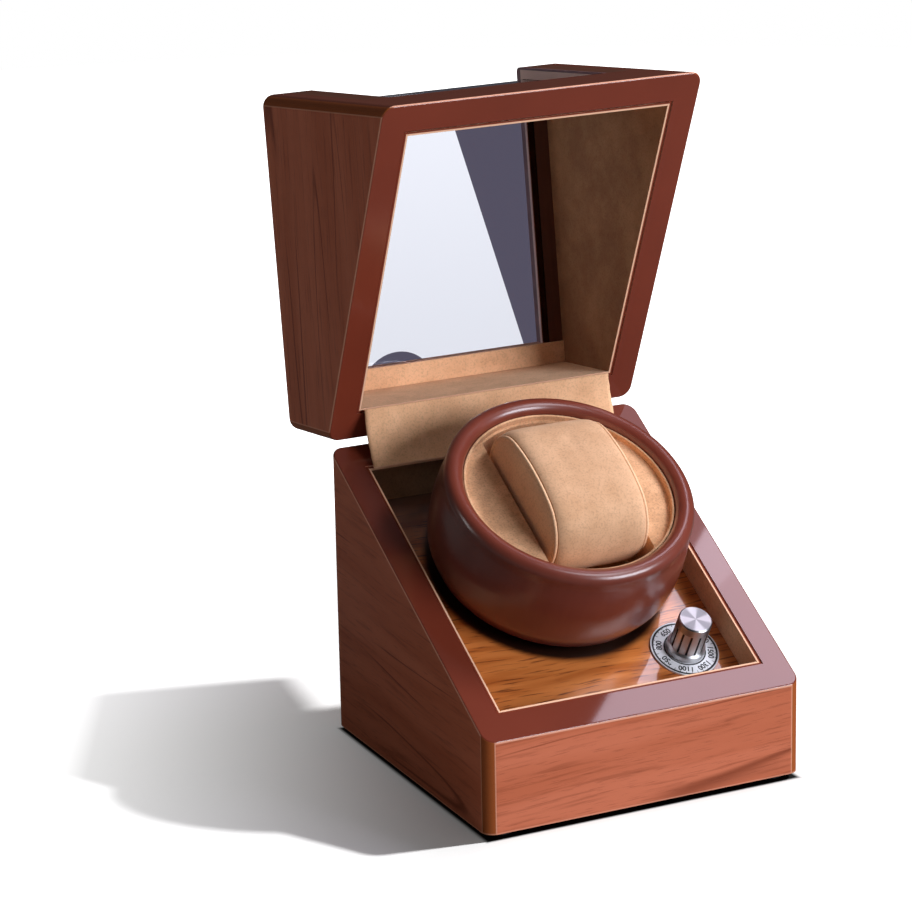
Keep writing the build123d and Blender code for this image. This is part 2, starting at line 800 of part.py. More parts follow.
with BuildPart() as drive_belt:
    with BuildLine(belt_plane) as belt_path:
        Line(*belt_points[:2])
        ThreePointArc(*belt_points[1:4])
        Line(*belt_points[3:5])
        ThreePointArc(*belt_points[4:], belt_points[0])
    with BuildSketch(Plane(origin=belt_path.wire() @ 0, z_dir=belt_path.wire() % 0)):
        Circle(belt_radius)
    sweep(path=belt_path.wire())
drive_belt.part.label = "drive_belt"
export_step(drive_belt.part, "parts/drive_belt.step")

# The rotary switch under the deck, its nut, and the dial plate the nut clamps
switch_plane = shifted(knob_plane, 0, 0, -deck_thickness)
shaft_fit_radius = switch_shaft_radius + running_clearance
switch_hole_depth = dial_thickness + switch_collar_height + deck_thickness + switch_depth / 2

with BuildPart() as switch_body:
    with BuildSketch(switch_plane):
        RectangleRounded(switch_width, switch_width, rim_edge_radius)
    extrude(amount=-switch_depth)
    with BuildSketch(switch_plane):
        Circle(switch_collar_radius)
    extrude(amount=deck_thickness + dial_thickness + switch_collar_height)
    with Locations(shifted(knob_plane, 0, 0, dial_thickness + switch_collar_height)):
        Hole(shaft_fit_radius, depth=switch_hole_depth)
switch_body.part.label = "switch_body"
export_step(switch_body.part, "parts/switch_body.step")

with BuildPart() as dial_plate:
    with BuildSketch(knob_plane):
        Circle(dial_radius)
        Circle(switch_collar_radius + press_gap, mode=Mode.SUBTRACT)
    extrude(amount=dial_thickness)
dial_plate.part.label = "dial_plate"
export_step(dial_plate.part, "parts/dial_plate.step")

with BuildPart() as switch_nut:
    with BuildSketch(shifted(knob_plane, 0, 0, dial_thickness)):
        RegularPolygon(nut_flats / 2, 6, major_radius=False)
        Circle(switch_collar_radius + press_gap, mode=Mode.SUBTRACT)
    extrude(amount=nut_thickness)
switch_nut.part.label = "switch_nut"
export_step(switch_nut.part, "parts/switch_nut.step")

# The knob and the shaft that it turns
knob_bottom = dial_thickness + knob_skirt_gap
knob_ceiling = knob_bottom + knob_recess_height

with BuildPart() as knob:
    with BuildSketch(axis_section(knob_plane)):
        with BuildLine():
            Polyline(
                (knob_recess_radius, knob_bottom),
                (knob_skirt_radius, knob_bottom),
                (knob_skirt_radius, knob_bottom + knob_skirt_height),
                (knob_radius, knob_bottom + knob_skirt_height + knob_chamfer),
                (knob_radius, knob_height - knob_chamfer),
                (knob_radius - knob_chamfer, knob_height),
                (0, knob_height),
                (0, knob_height - switch_shaft_top),
                (switch_shaft_radius + press_gap, knob_height - switch_shaft_top),
                (switch_shaft_radius + press_gap, knob_ceiling),
                (knob_recess_radius, knob_ceiling),
                close=True,
            )
        make_face()
    revolve(axis=Axis(knob_plane.origin, outward))
    slot_length = knob_height - knob_slot_top - knob_bottom - knob_skirt_height - knob_chamfer
    with BuildSketch(shifted(knob_plane, 0, 0, knob_height - knob_slot_top)):
        with PolarLocations(knob_radius, knob_slot_count):
            Rectangle(2 * knob_slot_depth, knob_slot_width)
    extrude(amount=-slot_length, mode=Mode.SUBTRACT)
knob.part.label = "knob"
export_step(knob.part, "parts/knob.step")

with BuildPart() as knob_shaft:
    with BuildSketch(shifted(knob_plane, 0, 0, knob_height - switch_shaft_top - press_gap)):
        Circle(switch_shaft_radius)
    shaft_length = knob_height - switch_shaft_top + deck_thickness + switch_depth / 2 - thrust_gap
    extrude(amount=-shaft_length)
knob_shaft.part.label = "knob_shaft"
export_step(knob_shaft.part, "parts/knob_shaft.step")

# The control board, held under the switch by two spacers
with BuildPart() as circuit_board:
    with BuildSketch(board_plane):
        RectangleRounded(board_length, board_width, board_spacer_radius)
        with Locations(*board_spacer_spots):
            Circle(board_screw_radius + press_gap, mode=Mode.SUBTRACT)
    extrude(amount=-board_thickness)
circuit_board.part.label = "circuit_board"
export_step(circuit_board.part, "parts/circuit_board.step")

with BuildPart() as board_spacers:
    with BuildSketch(board_plane):
        with Locations(*board_spacer_spots):
            Circle(board_spacer_radius)
            Circle(board_screw_radius + press_gap, mode=Mode.SUBTRACT)
    extrude(amount=board_spacer_length)
board_spacers.part.label = "board_spacers"
export_step(board_spacers.part, "parts/board_spacers.step")

with BuildPart(turned_over(board_plane.offset(-board_thickness))) as board_screws:
    with Locations(*board_screw_spots):
        fit_pan_screw(
            board_screw_head_radius,
            board_screw_head_height,
            board_screw_radius,
            board_thickness + board_spacer_length + plate_screw_bite,
        )
board_screws.part.label = "board_screws"
export_step(board_screws.part, "parts/board_screws.step")

# Parts soldered on the board's lower face: the timer chip, a capacitor and two lead headers
board_face = board_plane.offset(-board_thickness)
header_x = board_spacer_x - header_length
header_spots = [(-header_x, -header_length), (header_x, header_length)]

with BuildPart() as board_parts:
    with BuildSketch(board_face):
        Rectangle(chip_length, chip_width)
    extrude(amount=-chip_height)
    with BuildSketch(board_face):
        with Locations((-chip_length, header_length)):
            Circle(capacitor_radius)
    extrude(amount=-capacitor_height)
    with BuildSketch(board_face):
        with Locations(*header_spots):
            Rectangle(header_length, header_width)
    extrude(amount=-header_height)
board_parts.part.label = "board_parts"
export_step(board_parts.part, "parts/board_parts.step")

# The power inlet in the back panel, and the nut that holds it inside
with BuildPart() as power_jack:
    with BuildSketch(jack_plane):
        Circle(jack_flange_radius)
    extrude(amount=jack_flange_thickness)
    with BuildSketch(jack_plane):
        Circle(jack_radius)
    extrude(amount=jack_flange_thickness - jack_body_length)
    with BuildSketch(jack_plane.offset(jack_flange_thickness)):
        Circle(jack_socket_radius)
        Circle(jack_pin_radius, mode=Mode.SUBTRACT)
    extrude(amount=-jack_socket_depth, mode=Mode.SUBTRACT)
    with BuildSketch(jack_plane.offset(jack_flange_thickness)):
        Circle(jack_socket_radius)
    extrude(amount=-jack_pin_setback, mode=Mode.SUBTRACT)
power_jack.part.label = "power_jack"
export_step(power_jack.part, "parts/power_jack.step")

with BuildPart() as jack_nut:
    with BuildSketch(jack_plane.offset(-panel)):
        RegularPolygon(jack_nut_flats / 2, 6, major_radius=False)
        Circle(jack_radius + press_gap, mode=Mode.SUBTRACT)
    extrude(amount=-jack_nut_thickness)
jack_nut.part.label = "jack_nut"
export_step(jack_nut.part, "parts/jack_nut.step")


def bend_radii(route):
    """The widest radius that each corner of a lead's route has room for."""
    radii = []
    for before, corner, after in zip(route, route[1:], route[2:]):
        arriving = corner - before
        leaving = after - corner
        half_turn = radians(arriving.get_angle(leaving)) / 2
        radii.append(lead_bend_share * min(arriving.length, leaving.length) / tan(half_turn))
    return radii


# Insulated leads on the case's floor: from the inlet to the board, and from the board to the motor
header_plane = board_face.offset(-header_height)
header_ends = [header_plane.from_local_coords(spot) for spot in header_spots]
jack_end = jack_plane.from_local_coords((0, 0, jack_flange_thickness - jack_body_length))
motor_end = shifted(motor_plane, 0, 0, -motor_bottom - motor_boss_length).origin
power_route = [
    jack_end,
    jack_end - lead_exit * jack_plane.z_dir,
    Vector(36.0, 25.0, 17.0),
    Vector(38.5, 9.0, 15.5),
    header_ends[1] - lead_exit * outward,
    header_ends[1],
]
motor_route = [
    motor_end,
    motor_end - lead_exit * outward,
    Vector(-29.0, 38.0, 14.5),
    Vector(-17.0, 20.0, 13.5),
    Vector(-1.0, 3.0, 12.5),
    Vector(13.0, -13.0, 14.0),
    header_ends[0] - lead_exit * outward,
    header_ends[0],
]

with BuildPart() as power_lead:
    with BuildLine() as power_path:
        FilletPolyline(*power_route, radius=bend_radii(power_route))
    with BuildSketch(Plane(origin=power_path.line @ 0, z_dir=power_path.line % 0)):
        Circle(lead_radius)
    sweep(path=power_path.wire())
power_lead.part.label = "power_lead"
export_step(power_lead.part, "parts/power_lead.step")

with BuildPart() as motor_lead:
    with BuildLine() as motor_path:
        FilletPolyline(*motor_route, radius=bend_radii(motor_route))
    with BuildSketch(Plane(origin=motor_path.line @ 0, z_dir=motor_path.line % 0)):
        Circle(lead_radius)
    sweep(path=motor_path.wire())
motor_lead.part.label = "motor_lead"
export_step(motor_lead.part, "parts/motor_lead.step")

# Lid side panels: the full side outline between the two rims and the top
with BuildPart() as lid_side_left:
    with BuildSketch(lid_section(-half_width)):
        Polygon(
            (-half_depth, line_z(-half_depth, -lid_gap)),
            (-half_depth, case_top),
            (half_depth, case_top),
            (half_depth, line_z(half_depth, -lid_gap)),
            align=None,
        )
    extrude(amount=panel)
    outer_edges = lid_side_left.edges().group_by(Axis.X)[0]
    fillet(outer_edges.filter_by(lid_upright), radius=corner_radius)
    top_face = lid_side_left.faces().sort_by(lid_upright)[-1]
    fillet(top_face.edges().sort_by(Axis.X)[:-1], radius=top_edge_radius)
    rim_face = lid_side_left.faces().filter_by(lid_rim_plane)[0]
    fillet(rim_face.edges().sort_by(Axis.X)[:-1], radius=rim_edge_radius)
lid_side_left.part.label = "lid_side_left"
export_step(lid_side_left.part, "parts/lid_side_left.step")

with BuildPart() as lid_side_right:
    mirror(lid_side_left.part, about=Plane.YZ)
lid_side_right.part.label = "lid_side_right"
export_step(lid_side_right.part, "parts/lid_side_right.step")

# Lid back panel, with pockets for the hinges
with BuildPart() as lid_back:
    with BuildSketch(lid_section(-inner_half_width)):
        Polygon(
            (inner_half_depth, line_z(inner_half_depth, -lid_gap)),
            (inner_half_depth, case_top),
            (half_depth, case_top),
            (half_depth, line_z(half_depth, -lid_gap)),
            align=None,
        )
    extrude(amount=2 * inner_half_width)
    long_edges = lid_back.edges().filter_by(Axis.X)
    fillet(long_edges.sort_by(lid_level)[-2:].sort_by(lid_upright)[-1], radius=top_edge_radius)
    rim_face = lid_back.faces().filter_by(lid_rim_plane)[0]
    fillet(rim_face.edges().filter_by(Axis.X).sort_by(lid_level)[-1], radius=rim_edge_radius)
    for start in hinge_starts:
        with BuildSketch(lid_section(start - fit_gap)):
            Polygon(*lid_pocket, align=None)
            with Locations((hinge_y, hinge_z)):
                Circle(knuckle_radius + knuckle_clearance)
        extrude(amount=hinge_length + 2 * fit_gap, mode=Mode.SUBTRACT)
    with Locations(lid_screw_plane):
        with Locations(*hinge_screw_spots):
            Hole(hinge_screw_hole, depth=hinge_screw_hole_depth)
lid_back.part.label = "lid_back"
export_step(lid_back.part, "parts/lid_back.step")

# The window's rebate: how deep from the inner face the bent pane sits
sill_z = foot_height + sill_height
strip_inner_y = -half_depth + strip_thickness
strip_inner_z = case_top - strip_thickness
rebate_depth = pane_thickness + pane_fit
window_half_width = inner_half_width - strip_width
window_back_y = inner_half_depth - top_rail_width

# Lid front rail below the window, thick as the walls, with a rebate along its upper inner edge
with BuildPart() as lid_front_rail:
    with BuildSketch(lid_section(-inner_half_width)):
        Polygon(
            (-half_depth, line_z(-half_depth, -lid_gap)),
            (-half_depth, sill_z),
            (strip_inner_y - rebate_depth, sill_z),
            (strip_inner_y - rebate_depth, sill_z - pane_rebate),
            (-inner_half_depth, sill_z - pane_rebate),
            (-inner_half_depth, line_z(-inner_half_depth, -lid_gap)),
            align=None,
        )
    extrude(amount=2 * inner_half_width)
    rim_face = lid_front_rail.faces().filter_by(lid_rim_plane)[0]
    fillet(rim_face.edges().filter_by(Axis.X).sort_by(lid_level)[0], radius=rim_edge_radius)
lid_front_rail.part.label = "lid_front_rail"
export_step(lid_front_rail.part, "parts/lid_front_rail.step")

# Lid top rail behind the window
with BuildPart() as lid_top_rail:
    with BuildSketch(lid_section(-inner_half_width)):
        Polygon(
            (inner_half_depth, case_top),
            (window_back_y, case_top),
            (window_back_y, strip_inner_z + rebate_depth),
            (window_back_y + pane_rebate, strip_inner_z + rebate_depth),
            (window_back_y + pane_rebate, strip_inner_z),
            (inner_half_depth, strip_inner_z),
            align=None,
        )
    extrude(amount=2 * inner_half_width)
lid_top_rail.part.label = "lid_top_rail"
export_step(lid_top_rail.part, "parts/lid_top_rail.step")

# L-shaped strips beside the window, from the top rail over the corner to the front rail
strip_outline = [
    (-half_depth, sill_z),
    (-half_depth, case_top),
    (window_back_y, case_top),
    (window_back_y, strip_inner_z),
    (strip_inner_y, strip_inner_z),
    (strip_inner_y, sill_z),
]

with BuildPart() as window_strips:
    with BuildSketch(lid_section(-inner_half_width)):
        Polygon(*strip_outline, align=None)
    extrude(amount=strip_width)
    with BuildSketch(lid_section(-window_half_width)):
        Polygon(
            (strip_inner_y - rebate_depth, sill_z),
            (strip_inner_y - rebate_depth, strip_inner_z + rebate_depth),
            (window_back_y, strip_inner_z + rebate_depth),
            (window_back_y, strip_inner_z),
            (strip_inner_y, strip_inner_z),
            (strip_inner_y, sill_z),
            align=None,
        )
    extrude(amount=-pane_rebate, mode=Mode.SUBTRACT)
    corner_edges = window_strips.edges().filter_by(Axis.X).group_by(lid_upright)[-1]
    fillet(corner_edges.sort_by(lid_level)[0], radius=top_edge_radius)
    mirror(about=Plane.YZ)
window_strips.part.label = "window_strips"
export_step(window_strips.part, "parts/window_strips.step")

# The clear pane, bent over the front corner, a little smaller than its rebate all round
pane_half_width = window_half_width + pane_rebate - pane_fit
pane_front_y = strip_inner_y - pane_thickness
pane_top_z = strip_inner_z + pane_thickness

pane_bottom_z = sill_z - pane_rebate + pane_fit
pane_back_y = window_back_y + pane_rebate - pane_fit
pane_corner = lid_section(0).from_local_coords((pane_front_y, pane_top_z))

with BuildPart() as window_pane:
    with BuildSketch(lid_section(-pane_half_width)):
        Polygon(
            (pane_front_y, pane_bottom_z),
            (pane_front_y, pane_top_z),
            (pane_back_y, pane_top_z),
            (pane_back_y, strip_inner_z),
            (strip_inner_y, strip_inner_z),
            (strip_inner_y, pane_bottom_z),
            align=None,
        )
    extrude(amount=2 * pane_half_width)
    bend_edges = window_pane.edges().filter_by(Axis.X).sort_by_distance(pane_corner)
    fillet(bend_edges[1], radius=pane_bend_radius - pane_thickness)
    bend_edges = window_pane.edges().filter_by(Axis.X).sort_by_distance(pane_corner)
    fillet(bend_edges[0], radius=pane_bend_radius)
window_pane.part.label = "window_pane"
export_step(window_pane.part, "parts/window_pane.step")

# Lining boards in the lid, a little back from its rim
lid_liner_edge = -lid_gap - liner_gap

with BuildPart() as lid_liner_sides:
    for edge in (-inner_half_width + liner_gap, lined_half_width):
        with BuildSketch(lid_section(edge)):
            Polygon(
                (-inner_half_depth + fit_gap, line_z(-inner_half_depth + fit_gap, lid_liner_edge)),
                (-inner_half_depth + fit_gap, sill_z),
                (strip_inner_y + fit_gap, sill_z),
                (strip_inner_y + fit_gap, strip_inner_z - fit_gap),
                (inner_half_depth - fit_gap, strip_inner_z - fit_gap),
                (inner_half_depth - fit_gap, line_z(inner_half_depth - fit_gap, lid_liner_edge)),
                align=None,
            )
        extrude(amount=liner)
lid_liner_sides.part.label = "lid_liner_sides"
export_step(lid_liner_sides.part, "parts/lid_liner_sides.step")

with BuildPart() as lid_liner_front:
    with BuildSketch(lid_section(-end_liner_half_width)):
        Polygon(
            (-lined_half_depth, line_z(-lined_half_depth, lid_liner_edge)),
            (-lined_half_depth, sill_z - pane_rebate - fit_gap),
            (-lined_half_depth - liner, sill_z - pane_rebate - fit_gap),
            (-lined_half_depth - liner, line_z(-lined_half_depth - liner, lid_liner_edge)),
            align=None,
        )
    extrude(amount=2 * end_liner_half_width)
lid_liner_front.part.label = "lid_liner_front"
export_step(lid_liner_front.part, "parts/lid_liner_front.step")

with BuildPart() as lid_liner_back:
    with BuildSketch(lid_section(-end_liner_half_width)):
        Polygon(
            (lined_half_depth, line_z(lined_half_depth, lid_liner_edge)),
            (lined_half_depth, strip_inner_z - fit_gap),
            (lined_half_depth + liner, strip_inner_z - fit_gap),
            (lined_half_depth + liner, line_z(lined_half_depth + liner, lid_liner_edge)),
            align=None,
        )
    extrude(amount=2 * end_liner_half_width)
lid_liner_back.part.label = "lid_liner_back"
export_step(lid_liner_back.part, "parts/lid_liner_back.step")

with BuildPart() as lid_liner_top:
    with BuildSketch(lid_section(-end_liner_half_width)):
        Polygon(
            (window_back_y, strip_inner_z),
            (lined_half_depth - fit_gap, strip_inner_z),
            (lined_half_depth - fit_gap, strip_inner_z - liner),
            (window_back_y, strip_inner_z - liner),
            align=None,
        )
    extrude(amount=2 * end_liner_half_width)
lid_liner_top.part.label = "lid_liner_top"
export_step(lid_liner_top.part, "parts/lid_liner_top.step")

# Hinge leaves: a plate let into the rim, with knuckles on its back edge
with BuildPart() as hinge_leaves_base:
    for start in hinge_starts:
        with BuildSketch(Plane.YZ.offset(start)):
            Polygon(*base_leaf, align=None)
        extrude(amount=hinge_length)
        for knuckle_start in (start, start + hinge_length - base_knuckle_length):
            with BuildSketch(Plane.YZ.offset(knuckle_start)):
                Polygon(*base_leaf_root, align=None)
                with Locations((hinge_y, hinge_z)):
                    Circle(knuckle_radius)
                    Circle(hinge_pin_radius + press_gap, mode=Mode.SUBTRACT)
            extrude(amount=base_knuckle_length)
    with Locations(base_screw_plane):
        with Locations(*hinge_screw_spots):
            CounterSinkHole(hinge_screw_hole, hinge_screw_head_radius + press_gap, depth=hinge_leaf_thickness)
hinge_leaves_base.part.label = "hinge_leaves_base"
export_step(hinge_leaves_base.part, "parts/hinge_leaves_base.step")

with BuildPart() as hinge_leaves_lid:
    for start in hinge_starts:
        with BuildSketch(lid_section(start)):
            Polygon(*lid_leaf, align=None)
        extrude(amount=hinge_length)
        with BuildSketch(lid_section(start + base_knuckle_length + knuckle_clearance)):
            Polygon(*lid_leaf_root, align=None)
            with Locations((hinge_y, hinge_z)):
                Circle(knuckle_radius)
                Circle(hinge_pin_radius + running_clearance, mode=Mode.SUBTRACT)
        extrude(amount=lid_knuckle_length)
    with Locations(lid_screw_plane):
        with Locations(*hinge_screw_spots):
            CounterSinkHole(hinge_screw_hole, hinge_screw_head_radius + press_gap, depth=hinge_leaf_thickness)
hinge_leaves_lid.part.label = "hinge_leaves_lid"
export_step(hinge_leaves_lid.part, "parts/hinge_leaves_lid.step")

with BuildPart() as hinge_pins:
    for start in hinge_starts:
        with BuildSketch(Plane.YZ.offset(start)):
            with Locations((hinge_y, hinge_z)):
                Circle(hinge_pin_radius)
        extrude(amount=hinge_length)
hinge_pins.part.label = "hinge_pins"
export_step(hinge_pins.part, "parts/hinge_pins.step")

with BuildPart(base_screw_plane) as hinge_screws_base:
    with Locations(*hinge_screw_spots):
        fit_countersunk_screw(hinge_screw_head_radius, hinge_screw_radius, hinge_screw_length)
hinge_screws_base.part.label = "hinge_screws_base"
export_step(hinge_screws_base.part, "parts/hinge_screws_base.step")

with BuildPart(lid_screw_plane) as hinge_screws_lid:
    with Locations(*hinge_screw_spots):
        fit_countersunk_screw(hinge_screw_head_radius, hinge_screw_radius, hinge_screw_length)
hinge_screws_lid.part.label = "hinge_screws_lid"
export_step(hinge_screws_lid.part, "parts/hinge_screws_lid.step")

# The flap: a strip of suede from the top of the base's back lining to the lid's
base_hem = Vector(0, lined_half_depth, line_z(lined_half_depth, liner_top_edge))
lid_hem = lid_section(0).from_local_coords((lined_half_depth, line_z(lined_half_depth, lid_liner_edge)))
flap_run = (lid_hem - base_hem).normalized()
flap_plane = Plane(origin=base_hem, x_dir=across, z_dir=across.cross(flap_run))
flap_length = (lid_hem - base_hem).length - 2 * flap_clearance
flap_width = 2 * (lined_half_width - flap_side_gap)

with BuildPart() as hinge_flap:
    with BuildSketch(flap_plane.offset(flap_clearance)):
        with Locations((0, flap_clearance)):
            Rectangle(flap_width, flap_length, align=(Align.CENTER, Align.MIN))
    extrude(amount=flap_thickness)
hinge_flap.part.label = "hinge_flap"
export_step(hinge_flap.part, "parts/hinge_flap.step")

# The turned cup: a bellied wall under a round bead, a flat floor and a seat for the spindle's flange
bead_centre_height = cup_height - cup_bead_radius
bead_centre_radius = cup_bore_radius + cup_bead_radius
bead_crease_x = bead_centre_radius + cup_bead_radius * cos(radians(cup_bead_crease))
bead_crease_y = bead_centre_height - cup_bead_radius * sin(radians(cup_bead_crease))
cup_floor_top = cup_gap + cup_floor

with BuildPart() as cup_shell:
    with BuildSketch(axis_section(cup_plane)):
        with BuildLine():
            Line((0, cup_gap), (cup_foot_radius, cup_gap))
            ThreePointArc(
                (cup_foot_radius, cup_gap),
                (cup_heel_radius, cup_heel_height),
                (cup_waist_radius, cup_waist_height),
            )
            ThreePointArc(
                (cup_waist_radius, cup_waist_height),
                (cup_belly_radius, cup_belly_height),
                (cup_neck_radius, cup_height - cup_neck_drop),
            )
            Line((cup_neck_radius, cup_height - cup_neck_drop), (bead_crease_x, bead_crease_y))
            ThreePointArc(
                (bead_crease_x, bead_crease_y),
                (bead_centre_radius, cup_height),
                (cup_bore_radius, bead_centre_height),
            )
            Polyline(
                (cup_bore_radius, bead_centre_height),
                (cup_bore_radius, cup_floor_top),
                (0, cup_floor_top),
                (0, cup_gap),
            )
        make_face()
    revolve(axis=Axis(cup_plane.origin, outward))
    with BuildSketch(shifted(cup_plane, 0, 0, cup_gap)):
        Circle(flange_radius + fit_gap)
    extrude(amount=flange_thickness, mode=Mode.SUBTRACT)
    with Locations(turned_over(shifted(cup_plane, 0, 0, cup_gap))):
        with PolarLocations(spindle_screw_circle, spindle_screw_count):
            Hole(spindle_screw_radius + press_gap, depth=spindle_screw_length)
cup_shell.part.label = "cup_shell"
export_step(cup_shell.part, "parts/cup_shell.step")

# The insert: a suede-faced block with a ring round its ledge and a well for the cushion
ledge_height = cup_height - ledge_drop
insert_radius = cup_bore_radius - fit_gap
well_radius = cup_bore_radius - well_wall
cushion_half_run = well_radius - strap_gap
well_floor = ledge_height - cushion_half_rise - cushion_rest_gap

with BuildPart() as cup_insert:
    with BuildSketch(shifted(cup_plane, 0, 0, cup_floor_top)):
        Circle(insert_radius)
    extrude(amount=ledge_height - cup_floor_top)
    with BuildSketch(shifted(cup_plane, 0, 0, ledge_height)):
        Circle(insert_radius)
        Circle(insert_radius - insert_ring_width, mode=Mode.SUBTRACT)
    extrude(amount=insert_ring_height)
    with BuildSketch(shifted(cup_plane, 0, 0, ledge_height)):
        Circle(well_radius)
        Rectangle(2 * well_half_width, 2 * well_radius, mode=Mode.INTERSECT)
        fillet(vertices(), radius=well_corner_radius)
    extrude(amount=well_floor - ledge_height, mode=Mode.SUBTRACT)
cup_insert.part.label = "cup_insert"
export_step(cup_insert.part, "parts/cup_insert.step")


def cushion_section(x):
    """A plane across the cushion at x: its x runs uphill and its y outward."""
    return Plane(origin=cup_plane.from_local_coords((x, 0, ledge_height)), x_dir=uphill, z_dir=across)


def oval_arcs(half_run, half_rise, end_radius):
    """An oval of two flat arcs and two round ends that meet smoothly, each arc as three points."""
    arc_reach = (half_run - end_radius) ** 2 + half_rise**2 - end_radius**2
    flat_radius = arc_reach / (2 * (half_rise - end_radius))
    scale = flat_radius / (flat_radius - end_radius)
    join_x = (half_run - end_radius) * scale
    join_y = (flat_radius - half_rise) * (scale - 1)
    return [
        [(-join_x, join_y), (0, half_rise), (join_x, join_y)],
        [(join_x, join_y), (half_run, 0), (join_x, -join_y)],
        [(join_x, -join_y), (0, -half_rise), (-join_x, -join_y)],
        [(-join_x, -join_y), (-half_run, 0), (-join_x, join_y)],
    ]


# The cushion: a crowned roll whose ends draw in to a piped seam
pad_half_length = cushion_length / 2 - cap_thickness
pad_stations = [
    (-pad_half_length, cushion_end_shrink),
    (-pad_half_length / 2, cushion_mid_shrink),
    (0, 0),
    (pad_half_length / 2, cushion_mid_shrink),
    (pad_half_length, cushion_end_shrink),
]

with BuildPart() as cushion:
    for x, shrink in pad_stations:
        with BuildSketch(cushion_section(x)):
            with BuildLine():
                for arc in oval_arcs(
                    cushion_half_run - shrink, cushion_half_rise - shrink, cushion_end_radius - shrink
                ):
                    ThreePointArc(*arc)
            make_face()
    loft()
cushion.part.label = "cushion"
export_step(cushion.part, "parts/cushion.step")

# The cushion's end caps, each an oval board with a piped edge
with BuildPart() as cushion_caps:
    with BuildSketch(cushion_section(pad_half_length)):
        with BuildLine():
            for arc in oval_arcs(
                cushion_half_run - cap_inset, cushion_half_rise - cap_inset, cushion_end_radius - cap_inset
            ):
                ThreePointArc(*arc)
        make_face()
    extrude(amount=cap_thickness)
    fillet(cushion_caps.faces().sort_by(Axis.X)[-1].edges(), radius=rim_edge_radius)
    mirror(about=Plane.YZ)
cushion_caps.part.label = "cushion_caps"
export_step(cushion_caps.part, "parts/cushion_caps.step")
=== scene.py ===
# %% [markdown]
# A watch winder, dressed
#
# The construction comes as a fixed frame: every board, hinge, pulley and screw at its real size, in
# metres. This script gives each of them the finish of the real thing, and models the pieces whose looks
# need more than the frame holds: the turned cup, its suede lining, the cushion, the flap that hides the
# hinges and the marks on the dial. Nothing of the frame is moved or resized.

# %% Load the frame
import json
import math

import bmesh
import bpy
from mathutils import Matrix, Vector, noise


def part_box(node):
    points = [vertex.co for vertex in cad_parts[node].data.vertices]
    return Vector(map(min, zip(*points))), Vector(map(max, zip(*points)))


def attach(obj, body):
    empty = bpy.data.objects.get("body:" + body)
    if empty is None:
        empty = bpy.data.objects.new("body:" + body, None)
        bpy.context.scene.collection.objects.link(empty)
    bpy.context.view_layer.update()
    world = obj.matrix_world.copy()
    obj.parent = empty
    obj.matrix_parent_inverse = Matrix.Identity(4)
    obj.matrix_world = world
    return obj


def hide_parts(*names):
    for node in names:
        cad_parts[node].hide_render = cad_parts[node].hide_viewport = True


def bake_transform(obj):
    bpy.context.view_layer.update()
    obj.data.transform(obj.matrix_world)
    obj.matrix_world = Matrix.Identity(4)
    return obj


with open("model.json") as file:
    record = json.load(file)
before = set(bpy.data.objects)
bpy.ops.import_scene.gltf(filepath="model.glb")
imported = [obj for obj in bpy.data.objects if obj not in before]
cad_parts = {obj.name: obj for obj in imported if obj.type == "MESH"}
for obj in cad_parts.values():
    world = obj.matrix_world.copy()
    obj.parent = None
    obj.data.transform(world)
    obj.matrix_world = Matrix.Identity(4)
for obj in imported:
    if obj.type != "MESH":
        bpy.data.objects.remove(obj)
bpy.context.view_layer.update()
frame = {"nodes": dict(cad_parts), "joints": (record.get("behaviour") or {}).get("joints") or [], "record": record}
nodes = frame["nodes"]
joints = {joint["name"]: joint for joint in frame["joints"]}
MM = 0.001

# %% [markdown]
# The case has one slope: the deck, the rims and the cup all lie square to it. Its two directions, and
# the places that everything else is measured from, come from the frame's joints: the cup turns about the
# line square to the deck, and the lid turns about its hinge pins. The lid's pieces are drawn standing
# open, so a turn back about the hinge says where each of their points lies when the lid is shut.

# %% Directions and places
cup_joint = joints["cup_spin"]
outward = Vector(cup_joint["axis"]).normalized()
across = Vector((1.0, 0.0, 0.0))
uphill = outward.cross(across)
cup_centre = Vector(cup_joint["pos_m"])
knob_centre = Vector(joints["knob_turn"]["pos_m"])
hinge_point = Vector(joints["lid_hinge"]["pos_m"])
lid_open = math.radians(joints["lid_hinge"]["range_deg"][1])
slope = math.atan2(uphill.z, uphill.y)


def on_slope(origin):
    """The matrix from (across, uphill, outward) measured at a point of the slope to the frame."""
    turn = Matrix((across, uphill, outward)).transposed().to_4x4()
    return Matrix.Translation(origin) @ turn


print("slope", round(math.degrees(slope), 2), "degrees, lid open", round(math.degrees(lid_open), 2))

# %% [markdown]
# The object is seen through a long lens from the front left, a little above the deck. The camera is
# turned about the object by three angles and backed away by one distance, because four such numbers are
# easier to read and to change than a matrix. The focal length is given in pixels of a square picture of
# 912 by 912, and Blender's lens follows from it.

# %% Camera
picture_pixels = 912
focal_pixels = 3603.14
camera_azimuth = math.radians(-25.64)
camera_elevation = math.radians(16.718)
camera_roll = math.radians(-1.175)
camera_distance = 1414.6 * MM
camera_target = Vector((-46.23, -0.02, 133.3)) * MM


def linked(name, data):
    """An object of the scene that shows the given data."""
    obj = bpy.data.objects.new(name, data)
    bpy.context.collection.objects.link(obj)
    return obj


